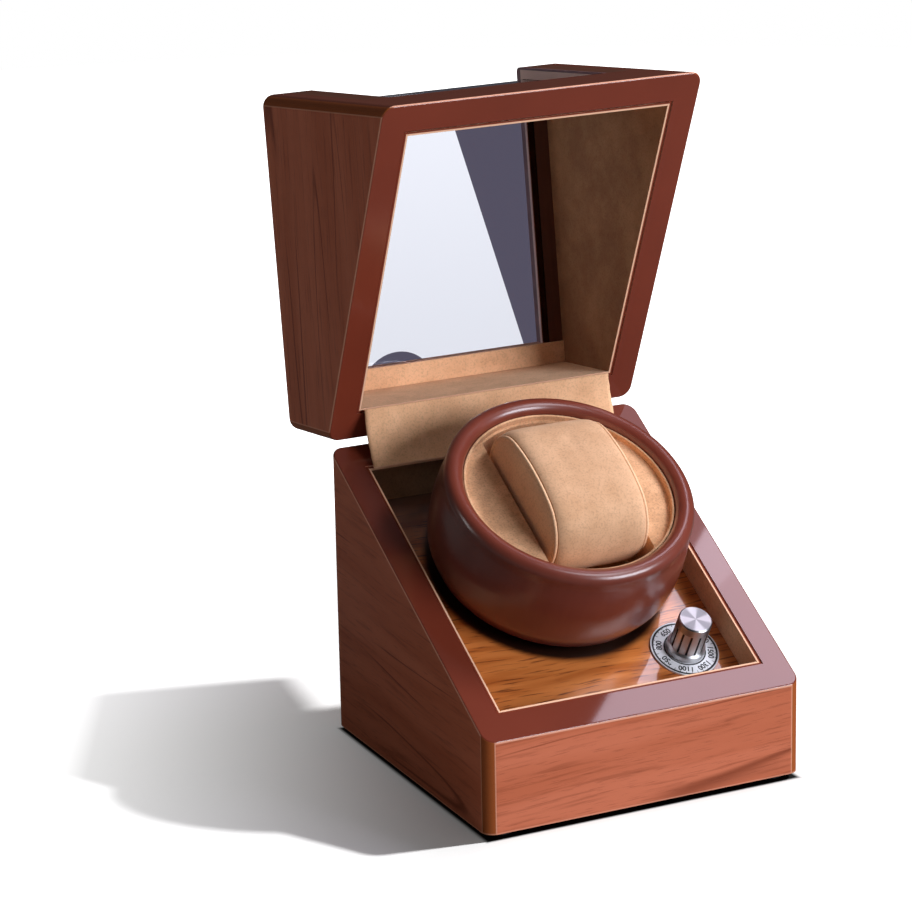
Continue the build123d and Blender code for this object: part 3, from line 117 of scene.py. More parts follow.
camera_data = bpy.data.cameras.new("camera")
camera_data.lens = focal_pixels * camera_data.sensor_width / picture_pixels
camera_data.clip_start = 50 * MM
camera = linked("camera", camera_data)
backward = Vector((
    math.sin(camera_azimuth) * math.cos(camera_elevation),
    -math.cos(camera_azimuth) * math.cos(camera_elevation),
    math.sin(camera_elevation),
))
camera_turn = backward.to_track_quat("Z", "Y").to_matrix() @ Matrix.Rotation(camera_roll, 3, "Z")
camera_place = camera_target + camera_distance * backward
camera.matrix_world = Matrix.Translation(camera_place) @ camera_turn.to_4x4()
bpy.context.scene.camera = camera
bpy.context.scene.view_settings.view_transform = "Standard"
print("camera lens", round(camera_data.lens, 1), "mm")

# %% [markdown]
# A small class keeps the materials readable: each method adds one node and returns its output, so that a
# finish reads as a recipe. Some methods make masks, which are numbers from 0 to 1 that say where one
# colour gives way to another. All patterns read Object coordinates, which are metres here, so a line
# 2 mm wide is asked for as 2 mm.


# %% Helpers for shaders
class Recipe:
    """A shader whose inputs are worked out by one node after another."""

    def __init__(self, owner, shader):
        owner.use_nodes = True
        self.tree = owner.node_tree
        self.shader = self.tree.nodes[shader]

    def feed(self, socket, value):
        """Gives a socket a value, or another node's output."""
        if isinstance(value, bpy.types.NodeSocket):
            self.tree.links.new(value, socket)
        else:
            socket.default_value = value

    def set(self, socket, value):
        """Gives an input of the shader a value, or another node's output."""
        self.feed(self.shader.inputs[socket], value)

    def node(self, kind, inputs=None, output=0, **settings):
        """Adds a node with its settings and inputs, and returns one of its outputs."""
        made = self.tree.nodes.new(kind)
        for setting, value in settings.items():
            setattr(made, setting, value)
        for socket, value in (inputs or {}).items():
            self.feed(made.inputs[socket], value)
        return made.outputs[output]

    def maths(self, operation, first, second=0.0, third=0.0):
        """One operation on up to three numbers."""
        return self.node("ShaderNodeMath", {0: first, 1: second, 2: third}, operation=operation)

    def vector(self, operation, first, second=(0.0, 0.0, 0.0), output=0):
        """One operation on vectors. The output named Value is for those that give a number."""
        return self.node("ShaderNodeVectorMath", {0: first, 1: second}, output, operation=operation)

    def dot(self, vector, direction):
        """How far a vector reaches along a direction."""
        return self.vector("DOT_PRODUCT", vector, direction, "Value")

    def part_of(self, vector, axis):
        """The X, Y or Z of a vector."""
        return self.node("ShaderNodeSeparateXYZ", {0: vector}, axis)

    def ray(self, output):
        """What Light Path says of the ray that meets the surface."""
        return self.node("ShaderNodeLightPath", output=output)

    def ease(self, value, start, end, low=0.0, high=1.0):
        """A smooth step from low to high as the value goes from start to end."""
        return self.node("ShaderNodeMapRange", {
            "Value": value, "From Min": start, "From Max": end, "To Min": low, "To Max": high},
            interpolation_type="SMOOTHSTEP")

    def both(self, mask, *others):
        """A mask that is 1 only where all of these are."""
        for other in others:
            mask = self.maths("MULTIPLY", mask, other)
        return mask

    def either(self, mask, *others):
        """A mask that is 1 wherever one of these is."""
        for other in others:
            mask = self.maths("MAXIMUM", mask, other)
        return mask

    def inverse(self, mask):
        """A mask that is 1 where this one is 0."""
        return self.maths("SUBTRACT", 1.0, mask)

    def beyond(self, value, limit, blur=0.3 * MM):
        """A mask that is 1 where the size of a value is past a limit."""
        return self.ease(self.maths("ABSOLUTE", value), limit - blur, limit + blur)

    def within(self, value, solid, gone):
        """A mask that is 1 where the size of a value is under one limit, and 0 past another."""
        return self.ease(self.maths("ABSOLUTE", value), solid, gone, 1.0, 0.0)


# %% Helpers for materials
class Finish(Recipe):
    """A material, which starts from Blender's Principled shader."""

    def __init__(self, name, colour=(0.5, 0.5, 0.5), roughness=0.5, **settings):
        self.material = bpy.data.materials.new(name)
        super().__init__(self.material, "Principled BSDF")
        self.set("Base Color", (*colour, 1.0))
        self.set("Roughness", roughness)
        for socket, value in settings.items():
            self.set(socket.replace("_", " "), value)

    def place(self):
        """Object coordinates: where a point of the piece lies in the frame, in metres."""
        return self.node("ShaderNodeTexCoord", output="Object")

    def mapped(self, vector, scale=(1, 1, 1), rotation=(0, 0, 0), location=(0, 0, 0)):
        """Coordinates that are scaled, turned and moved."""
        return self.node("ShaderNodeMapping", {
            "Vector": vector, "Scale": scale, "Rotation": rotation, "Location": location})

    def noise(self, place, waves, detail=2.0, roughness=0.5, start=(0, 0, 0)):
        """Noise with so many waves to the metre along x, y and z."""
        return self.node("ShaderNodeTexNoise", {
            "Vector": self.mapped(place, scale=waves, location=start), "Scale": 1.0,
            "Detail": detail, "Roughness": roughness})

    def mix(self, factor, first, second):
        """A colour that goes from the first to the second as a factor goes from 0 to 1."""
        first, second = [(*c, 1.0) if isinstance(c, tuple) else c for c in (first, second)]
        return self.node("ShaderNodeMix", {0: factor, 6: first, 7: second}, 2, data_type="RGBA")

    def bump(self, height, distance, strength=1.0):
        """Raises the surface by a pattern, whose full swing is a distance in metres."""
        self.set("Normal", self.node("ShaderNodeBump", {
            "Height": height, "Distance": distance, "Strength": strength}))


def times(share, colour):
    """A colour made lighter or darker."""
    return tuple(share * c for c in colour)


def wear(objects, finish):
    """Gives a finish to every object of a list."""
    for obj in objects:
        obj.data.materials.clear()
        obj.data.materials.append(finish.material)


slot_nodes = {}
for subpart in frame["record"]["subparts"]:
    slot_nodes.setdefault(subpart["material_slot"], []).append(nodes[subpart["node"]])
print({slot: len(members) for slot, members in slot_nodes.items()})

# %% [markdown]
# The case is veneered board under lacquer. The veneer's figure is drawn as a solid block of wood that
# the boards are cut from: a noise that changes slowly along the case and quickly up it gives streaks
# that run level round all four sides, as on the real case. Finer noise of the same kind gives the dark
# pores, and the middle line of a slow noise gives the few long dark lines of the figure. The lid was cut
# from the same block, so its finish reads the places that its points have when it is shut.

# %% Shut places and the rim plane
rim_point = Vector((0.0, -70.0, 40.7)) * MM


def shut_place(finish, on_lid):
    """Object coordinates, turned back about the hinge for a piece that rides on the open lid."""
    place = finish.place()
    if not on_lid:
        return place
    turn = Matrix.Rotation(lid_open, 3, "X")
    return finish.mapped(place, rotation=(lid_open, 0, 0), location=hinge_point - turn @ hinge_point)


def from_rim_plane(finish, place):
    """How far a point lies over the plane between the base's rim and the lid's."""
    return finish.maths("SUBTRACT", finish.dot(place, outward), outward.dot(rim_point))


print("the rim plane passes", round(outward.dot(rim_point) / MM, 1), "mm from the origin")

# %% Veneer
veneer_light = (0.60, 0.172, 0.088)
veneer_mid = (0.51, 0.131, 0.060)
veneer_dark = (0.22, 0.047, 0.020)
grain_wander = 9 * MM


def grain(finish, place):
    """The veneer's colour and the depth of its pores, from a place whose z runs across the grain."""
    drift = finish.noise(place, waves=(8, 8, 14), detail=1.0)
    bent = finish.maths("MULTIPLY_ADD", drift, grain_wander, finish.part_of(place, "Z"))
    warped = finish.node("ShaderNodeCombineXYZ", {
        0: finish.part_of(place, "X"), 1: finish.part_of(place, "Y"), 2: bent})
    broad = finish.noise(warped, waves=(6, 6, 70))
    fine = finish.noise(warped, waves=(34, 34, 620), detail=3.0)
    pores = finish.noise(warped, waves=(110, 110, 2300))
    figure = finish.noise(warped, waves=(3, 3, 42), detail=0.0)
    presence = finish.noise(place, waves=(14, 14, 30), detail=0.0, start=(3, 1, 2))
    middle_line = finish.maths("ABSOLUTE", finish.maths("SUBTRACT", figure, 0.5))
    line = finish.both(finish.ease(middle_line, 0.0, 0.013, 0.78, 0.0), finish.ease(presence, 0.38, 0.58))
    tone = finish.mix(finish.ease(broad, 0.34, 0.66), veneer_light, veneer_mid)
    tone = finish.mix(finish.ease(fine, 0.52, 0.72, 0.0, 0.36), tone, veneer_dark)
    tone = finish.mix(line, tone, veneer_dark)
    pits = finish.ease(pores, 0.58, 0.70)
    return finish.mix(finish.maths("MULTIPLY", pits, 0.30), tone, veneer_dark), pits


print("veneer runs from", veneer_light, "to", veneer_dark)

# %% [markdown]
# The case's edges are what make it look built. The rims, where base and lid meet on the slope, are solid
# edging: plainer, redder, darker and polished, with a thin pale line along each, which is a painted
# highlight on the rounded edge. The base's edging is painted a little darker as shade. Each upright
# corner is a solid post with a thin painted highlight on either side, another painted highlight runs
# along the base's foot, and the lid's front is painted dark as shade, with painted highlights on its
# arris and on the lip behind the window. They are drawn as masks at real distances from the case's
# faces, because a veneered board is flat there and only its colour changes.

# %% Edges of the case
edging_red = (0.205, 0.036, 0.017)
# The pale colour, and the arris, seam, foot and lip bands below, are painted highlights on the case's edges.
painted_edge_highlight = (0.85, 0.42, 0.28)
corner_wood = (0.32, 0.080, 0.020)
# The lid's front colour below is painted shade.
front_painted_shade = (0.130, 0.034, 0.019)
case_half = 70 * MM
case_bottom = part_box("base_front")[0].z
corner_post = 4.2 * MM
rim_face = (0.30 * MM, 0.50 * MM)
arris_highlight_band = (0.75 * MM, 1.15 * MM)
arris_highlight_strength = 0.85
seam_highlight_band = (0.2 * MM, 0.35 * MM)
seam_highlight_strength = 0.45
foot_highlight_band = (case_bottom + 0.4 * MM, case_bottom + 0.7 * MM)
foot_highlight_strength = 0.35
front_face = (0.3 * MM - case_half, 0.8 * MM - case_half)
lip_highlight_band = (0.1 * MM, 0.3 * MM)
window_back = 48 * MM
window_side = case_half - 8 * MM
lid_top_starts = (155 * MM, 156 * MM)


def corner_marks(finish, across_case, along_case):
    """The masks of the corner posts and of the painted highlight lines beside them."""
    edges = [finish.maths("SUBTRACT", finish.maths("ABSOLUTE", axis), case_half - corner_post)
             for axis in (across_case, along_case)]
    posts = finish.both(*[finish.ease(edge, -0.2 * MM, 0.2 * MM) for edge in edges])
    seams = finish.either(*[
        finish.both(finish.within(edge, *seam_highlight_band),
                    finish.beyond(face, case_half - 0.4 * MM, 0.1 * MM))
        for edge, face in zip(edges, (along_case, across_case))])
    return posts, seams


def lid_edges(finish, tone, arris, across_case, along_case, up_case):
    """Adds the lid's front, painted dark as shade, with painted highlights on its arris and on the lip behind the
    window.
    """
    # Painted shade: the lid's front is painted dark.
    front = finish.ease(along_case, *front_face, 1.0, 0.0)
    tone = finish.mix(front, tone, front_painted_shade)
    # Painted highlights: on the lid front's arris, and on the lip behind the window.
    tone = finish.mix(finish.both(arris, front), tone, painted_edge_highlight)
    lip = finish.both(
        finish.within(finish.maths("SUBTRACT", along_case, window_back), *lip_highlight_band),
        finish.ease(up_case, *lid_top_starts),
        finish.inverse(finish.beyond(across_case, window_side)))
    return finish.mix(lip, tone, painted_edge_highlight)


print("corner posts", round(corner_post / MM, 1), "mm wide")


# %% Case wood
def case_wood(name, on_lid):
    """Lacquered veneer and polished edging with painted highlights and shade; the lid's reads its shut place."""
    finish = Finish(name, roughness=0.45, Specular_IOR_Level=0.08,
                    Coat_Roughness=0.15 if on_lid else 0.03, Coat_IOR=1.5)
    place = shut_place(finish, on_lid)
    sides = [finish.part_of(place, axis) for axis in "XYZ"]
    tone, pits = grain(finish, finish.mapped(place, rotation=(math.radians(-2), math.radians(3), 0)))
    posts, seams = corner_marks(finish, *sides[:2])
    tone = finish.mix(posts, tone, corner_wood)
    height = from_rim_plane(finish, place)
    arris = finish.within(height, *arris_highlight_band)
    # Painted highlights: thin pale lines beside the corner posts, along the rims' arris and along the base's foot.
    lines = finish.either(finish.both(seams, seam_highlight_strength),
                          finish.both(arris, finish.inverse(posts), arris_highlight_strength))
    if not on_lid:
        lines = finish.either(lines, finish.ease(sides[2], *foot_highlight_band, foot_highlight_strength, 0.0))
    tone = finish.mix(lines, tone, painted_edge_highlight)
    if on_lid:
        tone = lid_edges(finish, tone, arris, *sides)
    on_rim = finish.within(height, *rim_face)
    # Painted shade: the base's edging is painted darker than the lid's.
    depth = 1.0 if on_lid else 0.85
    red = finish.mix(finish.noise(place, waves=(25, 25, 25)), times(0.8 * depth, edging_red),
                     times(1.15 * depth, edging_red))
    finish.set("Base Color", finish.mix(on_rim, tone, red))
    finish.set("Coat Weight", finish.maths("MULTIPLY_ADD", on_rim, 0.96, 0.04))
    finish.bump(finish.both(pits, finish.inverse(on_rim)), -0.03 * MM)
    return finish


case_nodes = slot_nodes["case_lacquer"]
wear([n for n in case_nodes if n.name.startswith("base")], case_wood("case_wood", False))
wear([n for n in case_nodes if n.name.startswith("lid")], case_wood("lid_wood", True))
print("case wood on", len(case_nodes), "boards")

# %% [markdown]
# The deck is a sheet of golden veneer under a high gloss, laid with its grain from side to side. It is
# flat, so the same streaks are turned to lie on the slope. Hardly any light comes in round the cup's
# foot and behind the cup, so that shade is painted into the deck's colour with a mask about the cup's
# axis. The parts of the carcass that nobody sees are plain pale wood.

# %% Deck
deck_light = (0.64, 0.205, 0.048)
deck_mid = (0.46, 0.120, 0.022)
deck_dark = (0.11, 0.026, 0.008)
deck_unlit = (0.012, 0.004, 0.002)
foot_shade_ring = (48.5 * MM, 52.5 * MM)
back_shade_span = (12.0 * MM, 50.0 * MM)
pale_wood = ((0.42, 0.27, 0.14), (0.62, 0.45, 0.27))


def about_axis(finish, centre):
    """For an axis square to the deck: the way from its centre, the way round it, and the radius."""
    way = finish.vector("SUBTRACT", finish.place(), centre)
    round_axis = finish.vector("CROSS_PRODUCT", outward, way)
    return way, round_axis, finish.vector("LENGTH", round_axis, output="Value")


def painted_foot_shade(finish):
    """Painted shade: a factor that falls round the cup's foot and behind the cup."""
    way, _, radius = about_axis(finish, cup_centre)
    return finish.both(finish.ease(radius, *foot_shade_ring),
                       finish.ease(finish.dot(way, uphill), *back_shade_span, 1.0, 0.04))


def deck_veneer():
    """Golden veneer with broad streaks and short dark dashes, under a high gloss."""
    finish = Finish("deck_veneer", roughness=0.30, Coat_Weight=1.0, Coat_Roughness=0.02)
    place = finish.mapped(finish.place(), rotation=(-slope, 0, 0))
    drift = finish.noise(place, waves=(14, 10, 14), detail=1.0)
    bent = finish.maths("MULTIPLY_ADD", drift, grain_wander, finish.part_of(place, "Y"))
    warped = finish.node("ShaderNodeCombineXYZ", {0: finish.part_of(place, "X"), 1: bent})
    broad = finish.noise(warped, waves=(16, 210, 1), detail=3.0)
    dashes = finish.noise(warped, waves=(60, 900, 1), detail=3.0)
    tone = finish.mix(finish.ease(broad, 0.35, 0.68), deck_light, deck_mid)
    tone = finish.mix(finish.ease(dashes, 0.54, 0.68, 0.0, 0.8), tone, deck_dark)
    # Painted shade round the cup's foot and behind the cup.
    finish.set("Base Color", finish.mix(painted_foot_shade(finish), deck_unlit, tone))
    return finish


def carcass_wood():
    """Plain pale wood, rough from the saw."""
    finish = Finish("carcass_wood", roughness=0.7)
    streaks = finish.noise(finish.place(), waves=(12, 250, 250), detail=3.0)
    finish.set("Base Color", finish.mix(streaks, *pale_wood))
    finish.bump(streaks, 0.05 * MM)
    return finish


wear(slot_nodes["deck_veneer"], deck_veneer())
wear(slot_nodes["plain_wood"], carcass_wood())
print("deck and carcass dressed")

# %% [markdown]
# The window is one clear pane between two strips that are stained nearly black. Glass is mostly what
# stands behind it: full transmission, a very smooth surface and hardly a tint. A faint cool tint keeps it
# from vanishing against white, and its two edges are bedded in the stain of the strips that cover them.
# Each strip's inner edge, which stands over the pane, gets a pale line as a painted highlight.

# %% Window
pane_top = 156.1 * MM
pane_front = 65.1 * MM
pane_clear_half = 48.2 * MM
strip_edge_half = 48.5 * MM
edge_highlight_ends = (3.8 * MM, 4.0 * MM)
strip_stain = ((0.075, 0.020, 0.008), (0.130, 0.038, 0.016))
edge_shade = (0.30, 0.17, 0.19)
edge_painted_highlight = (0.95, 0.66, 0.58)
clear_tint = (0.86, 0.88, 0.97)
bedded_tint = (0.34, 0.150, 0.090)


def stained_strip():
    """A dark red-brown stain, with a painted highlight line on the edge that faces the window."""
    finish = Finish("stained_strip", roughness=0.5)
    place = shut_place(finish, True)
    x, y, z = [finish.part_of(place, axis) for axis in "XYZ"]
    streaks = finish.noise(place, waves=(700, 30, 40))
    tone = finish.mix(streaks, *strip_stain)
    over_pane = finish.maths("MAXIMUM", finish.maths("SUBTRACT", z, pane_top),
                             finish.maths("SUBTRACT", finish.maths("MULTIPLY", y, -1.0), pane_front))
    edge_face = finish.inverse(finish.beyond(x, strip_edge_half))
    tone = finish.mix(edge_face, tone, edge_shade)
    # Painted highlight: a pale line on the strip's edge, just over the pane.
    bright = finish.both(edge_face, finish.ease(over_pane, *edge_highlight_ends, 1.0, 0.0))
    finish.set("Base Color", finish.mix(bright, tone, edge_painted_highlight))
    return finish


pane = Finish("clear_pane", roughness=0.0, Transmission_Weight=1.0, IOR=1.49)
bedded = pane.beyond(pane.part_of(pane.place(), "X"), pane_clear_half, 0.15 * MM)
pane.set("Base Color", pane.mix(bedded, clear_tint, bedded_tint))
wear(slot_nodes["clear_pane"], pane)
wear(slot_nodes["window_frame"], stained_strip())
print("window glazed, and clear for", round(2 * pane_clear_half / MM, 1), "mm")

# %% [markdown]
# Suede is a short nap: it has no gloss, it shows soft mottling where the nap lies differently, a fine
# speckle, and a pale sheen at grazing angles. Sheen on the Principled shader is made for this. The
# boards' cut edges, and the hems, get an even pale line, which is a painted highlight where they catch
# the light, and the outer part of each board's edge, in the gap by the wall, is painted dark as shade.
# The hides differ in tone; the lid's side linings and the base's back lining, which stand in the shade,
# are painted darker as shade, and the cushion's caps are painted lighter as painted light.

# %% Suede
suede_tan = (0.90, 0.525, 0.295)
suede_deep = (0.72, 0.385, 0.205)
suede_edge_highlight = (0.90, 0.53, 0.34)
hide_thickness = 0.95 * MM
lined_half = 57.2 * MM
pale_width = 0.7 * MM


def suede(name, tan=suede_tan, deep=suede_deep, on_lid=False, patches=45, speckle=0.25):
    """Suede in two tones, with so many mottled patches to the metre."""
    finish = Finish(name, roughness=0.92, Specular_IOR_Level=0.08, Sheen_Weight=0.20,
                    Sheen_Roughness=0.45, Sheen_Tint=(1.0, 0.82, 0.62, 1.0))
    place = shut_place(finish, on_lid)
    mottle = finish.noise(place, waves=(patches,) * 3, detail=5.0, roughness=0.65)
    nap = finish.noise(place, waves=(1300,) * 3)
    tone = finish.mix(finish.ease(mottle, 0.30, 0.70), deep, tan)
    tone = finish.mix(finish.ease(nap, 0.45, 0.72, 0.0, speckle), tone, times(0.35, deep))
    # Painted highlight: an even pale line on the boards' cut edges.
    cut_edge = finish.within(from_rim_plane(finish, place), 0.9 * hide_thickness, hide_thickness)
    tone = finish.mix(cut_edge, tone, suede_edge_highlight)
    # Painted shade: the outer part of each board's edge, in the gap by the wall, takes the dark edging red.
    board = finish.either(*[
        finish.beyond(finish.part_of(place, axis), lined_half + pale_width, 0.1 * MM) for axis in "XY"])
    finish.set("Base Color", finish.mix(finish.both(cut_edge, board), tone, edging_red))
    heights = finish.maths("MULTIPLY_ADD", nap, 0.4, finish.maths("MULTIPLY", mottle, 0.6))
    finish.bump(heights, 0.22 * MM, 0.6)
    return finish


lining_suede = suede("lining_suede")
lid_suede = suede("lid_suede", on_lid=True)
# Painted shade: the lid's side linings get a darker copy of the suede.
lid_wall_painted_shade_suede = suede("lid_wall_painted_shade_suede", (0.39, 0.195, 0.090), (0.25, 0.115, 0.052), True, 30)
# Painted light: the cushion's caps get a lighter copy of the suede.
cap_painted_light_suede = suede("cap_painted_light_suede", (0.95, 0.60, 0.36), (0.86, 0.50, 0.29))
insert_suede = suede("insert_suede", (0.80, 0.46, 0.26), (0.58, 0.32, 0.17), patches=90, speckle=0.35)
cushion_suede = suede("cushion_suede", (0.74, 0.435, 0.255), (0.62, 0.345, 0.190))
# Painted shade: the base's back lining gets a much darker copy of the suede.
painted_shade_suede = suede("painted_shade_suede", (0.22, 0.115, 0.060), (0.16, 0.080, 0.040))
wear([n for n in slot_nodes["suede"] if not n.name.startswith("lid")], lining_suede)
wear([n for n in slot_nodes["suede"] if n.name.startswith("lid")], lid_suede)
wear([nodes["lid_liner_sides"]], lid_wall_painted_shade_suede)
wear([nodes["base_liner_back"]], painted_shade_suede)
wear(slot_nodes["insert_suede"], insert_suede)
wear(slot_nodes["cushion_suede"], cushion_suede)
print("suede on", len(slot_nodes["suede"]), "linings")

# %% [markdown]
# The metals differ in how they were worked. The knob was turned and then brushed round its axis, so its
# highlights fan out from the middle. The shader's anisotropy does that: its tangent runs round the axis,
# a quarter turn makes it rough across the brush marks, and the marks themselves are rings of noise about
# the knob's own axis. The four-lobed fan of a brushed disc is also painted into the metal's colour as a
# painted highlight, so that it shows under any lamps, and the insides of the grip's grooves are painted
# dark as shade. The hinges are plated brass, and the screws, shafts and the drive plate are plain steel.

# %% Knob metal
knob_bright = (0.66, 0.66, 0.67)
knob_dim = (0.30, 0.31, 0.32)
groove_painted_shade = (0.05, 0.05, 0.055)
groove_bottom = 6.72 * MM
grip_outside = 6.85 * MM
grip_fades = (14.8 * MM, 14.5 * MM)
top_starts = (14.6 * MM, 14.9 * MM)
brush_marks = 7000.0
fan_lobes = 4.0
fan_turn = 0.6


def turned_metal():
    """Brushed aluminium, with a painted highlight fan on its top and painted shade in the grip's grooves."""
    finish = Finish("turned_metal", roughness=0.34, Metallic=1.0, Anisotropic=0.8,
                    Anisotropic_Rotation=0.25)
    way, round_axis, radius = about_axis(finish, knob_centre)
    height = finish.dot(way, outward)
    brushing = finish.node("ShaderNodeTexNoise", {"W": finish.maths("MULTIPLY", radius, brush_marks)},
                           noise_dimensions="1D")
    finish.set("Tangent", finish.vector("NORMALIZE", round_axis))
    finish.bump(brushing, 0.01 * MM)
    # Painted shade inside the grip's grooves.
    in_groove = finish.both(finish.ease(radius, groove_bottom, grip_outside, 1.0, 0.0),
                            finish.ease(height, *grip_fades))
    # Painted highlight: a four-lobed fan drawn into the top's colour.
    turn = finish.maths("ARCTAN2", finish.dot(way, uphill), finish.dot(way, across))
    lobes = finish.maths("COSINE", finish.maths("MULTIPLY_ADD", turn, fan_lobes, fan_turn))
    fan = finish.both(finish.ease(lobes, -0.6, 0.7, 0.85, 0.0), finish.ease(height, *top_starts))
    metal = finish.mix(fan, knob_bright, knob_dim)
    finish.set("Base Color", finish.mix(in_groove, metal, groove_painted_shade))
    return finish


wear(slot_nodes["knob_metal"], turned_metal())
print("knob brushed")


# %% Other metals
def plain_metal(name, colour, roughness, speck=0.12):
    """A metal with a faint unevenness in its polish."""
    finish = Finish(name, colour=colour, roughness=roughness, Metallic=1.0)
    patches = finish.noise(finish.place(), waves=(220, 220, 220), detail=3.0)
    finish.set("Roughness", finish.maths("MULTIPLY_ADD", patches, speck, roughness - speck / 2))
    finish.set("Base Color", finish.mix(patches, times(0.85, colour), colour))
    return finish


wear(slot_nodes["hinge_metal"], plain_metal("hinge_metal", (0.78, 0.60, 0.30), 0.25))
wear(slot_nodes["steel"], plain_metal("steel", (0.60, 0.60, 0.61), 0.32))
wear(slot_nodes["cast_metal"], plain_metal("cast_metal", (0.50, 0.50, 0.50), 0.50))
wear(slot_nodes["bronze"], plain_metal("bronze", (0.62, 0.38, 0.17), 0.38))
print("metals dressed")

# %% [markdown]
# Moulded plastic has a faint grain from its mould, rubber is duller and greyer, the circuit board is
# green resin and the dial is a sheet with a white face. One function makes them all from a colour, a
# roughness and a grain.


# %% Plastics and rubber
def moulded(name, colour, roughness, grain_size=0.4, height=0.02):
    """A moulded finish whose grain has a size and a height in millimetres."""
    finish = Finish(name, colour=colour, roughness=roughness)
    texture = finish.noise(finish.place(), waves=(1 / (grain_size * MM),) * 3)
    finish.set("Base Color", finish.mix(texture, times(0.8, colour), colour))
    finish.bump(texture, height * MM)
    return finish


wear(slot_nodes["dial_metal"], moulded("dial_white", (0.74, 0.75, 0.77), 0.30, 0.8, 0.002))
wear(slot_nodes["drive_plastic"], moulded("drive_plastic", (0.75, 0.73, 0.68), 0.42))
wear(slot_nodes["black_plastic"], moulded("black_plastic", (0.018, 0.018, 0.019), 0.40))
wear(slot_nodes["board_resin"], moulded("board_resin", (0.020, 0.13, 0.045), 0.35))
wear(slot_nodes["belt_rubber"], moulded("belt_rubber", (0.022, 0.021, 0.020), 0.65))
wear(slot_nodes["foot_rubber"], moulded("foot_rubber", (0.016, 0.015, 0.015), 0.75, 0.6, 0.05))
wear(slot_nodes["lead_cover"], moulded("lead_cover", (0.030, 0.028, 0.028), 0.45))
print("plastics and rubber dressed")

# %% [markdown]
# The cup was turned on a lathe, so it is made the same way here: one half of its profile is drawn as
# edges and spun about its axis. The profile is a belly that draws in to a heel below and to a shallow
# crease under a round bead above. It replaces the frame's cup, whose facets would show in the polish.
# From here on, a piece's own sizes are in millimetres, and become metres where its points are made.


# %% Helpers for pieces
def mesh_object(name, made):
    """Turns a bmesh into an object of the scene."""
    mesh = bpy.data.meshes.new(name)
    made.to_mesh(mesh)
    made.free()
    return linked(name, mesh)


def finished_piece(name, made, finish, body, replaced=(), smooth_angle=40):
    """Turns a bmesh into a named object with its finish, its body and the nodes it stands for."""
    obj = mesh_object(name, made)
    wear([obj], finish)
    obj.data.shade_smooth()
    obj.data.set_sharp_from_angle(angle=math.radians(smooth_angle))
    if body:
        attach(obj, body)
    if replaced:
        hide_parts(*replaced)
    print(name, len(obj.data.polygons), "faces")
    return obj


# %% Helpers for profiles
def arc_points(centre, radius, start, end, count):
    """Points on an arc in a profile's plane, from one angle in degrees to another."""
    angles = [math.radians(start + (end - start) * i / count) for i in range(count + 1)]
    return [(centre[0] + radius * math.cos(a), centre[1] + radius * math.sin(a)) for a in angles]


def curve_points(points, steps):
    """Points on a smooth curve through the given ones."""
    dense = []
    for i in range(len(points) - 1):
        before = points[max(i - 1, 0)]
        after = points[min(i + 2, len(points) - 1)]
        for k in range(steps):
            t = k / steps
            dense.append(tuple(
                0.5 * (2 * p1 + (p2 - p0) * t + (2 * p0 - 5 * p1 + 4 * p2 - p3) * t**2
                       + (3 * p1 - p0 - 3 * p2 + p3) * t**3)
                for p0, p1, p2, p3 in zip(before, points[i], points[i + 1], after)))
    return dense + [points[-1]]


def lathe(profile, origin, steps=144):
    """Spins a profile of (radius, height) in millimetres about the line square to the deck."""
    made = bmesh.new()
    verts = [made.verts.new((radius * MM, 0.0, height * MM)) for radius, height in profile]
    edges = [made.edges.new(pair) for pair in zip(verts, verts[1:])]
    bmesh.ops.spin(made, geom=verts + edges, cent=(0, 0, 0), axis=(0, 0, 1),
                   angle=2 * math.pi, steps=steps, use_merge=True)
    bmesh.ops.remove_doubles(made, verts=made.verts, dist=0.001 * MM)
    bmesh.ops.recalc_face_normals(made, faces=made.faces)
    made.transform(on_slope(origin))
    return made


# %% Cup
cup_floor_height = 9.6
bore_radius = 43.3
bead_centre = (47.3, 43.8)
bead_radius = 4.0
foot_seat_radius = 18.02
foot_seat_height = 4.62
foot_height = 1.6
heel = [(42.5, foot_height), (45.2, 2.5)]
wall_curve = [(47.8, 4.8), (51.4, 12.5), (52.5, 24.0), (52.2, 32.0), (51.65, 37.0), (51.28, 40.4)]
cup_stain = ((0.145, 0.026, 0.014), (0.190, 0.038, 0.021))
cup_cloud = (0.095, 0.016, 0.009)


def cup_profile():
    """The cup's wall, bead and bore, from the middle of its foot to the middle of its floor."""
    foot = [(0.0, foot_seat_height), (foot_seat_radius, foot_seat_height),
            (foot_seat_radius, foot_height)]
    bead = arc_points(bead_centre, bead_radius, -12, 180, 32)
    bore = [(bore_radius, cup_floor_height), (0.0, cup_floor_height)]
    return foot + heel + curve_points(wall_curve, 8) + bead[1:] + bore


def cup_wood():
    """A dark red-brown stain under satin lacquer, with a faint grain along the turning."""
    finish = Finish("cup_wood", roughness=0.40, Specular_IOR_Level=0.20, Coat_Weight=1.0,
                    Coat_Roughness=0.24, Coat_IOR=1.5)
    place = finish.mapped(finish.place(), rotation=(-slope, 0, 0))
    streaks = finish.noise(place, waves=(260, 30, 40), detail=3.0)
    clouds = finish.noise(place, waves=(18, 18, 18))
    tone = finish.mix(streaks, *cup_stain)
    finish.set("Base Color", finish.mix(finish.maths("MULTIPLY", clouds, 0.5), tone, cup_cloud))
    return finish


cup = finished_piece("turned_cup", lathe(cup_profile(), cup_centre), cup_wood(), "cup",
                     ["cup_shell"])

# %% [markdown]
# The lining of the cup is a suede-covered block: a ring of suede round the bore, a ledge, and a well that
# the cushion is pressed into. The board is covered before it goes in, so every edge is soft. The frame
# already holds the block with its sharp edges, so a copy of it is taken, its doubled points are merged,
# and a bevel rounds it.


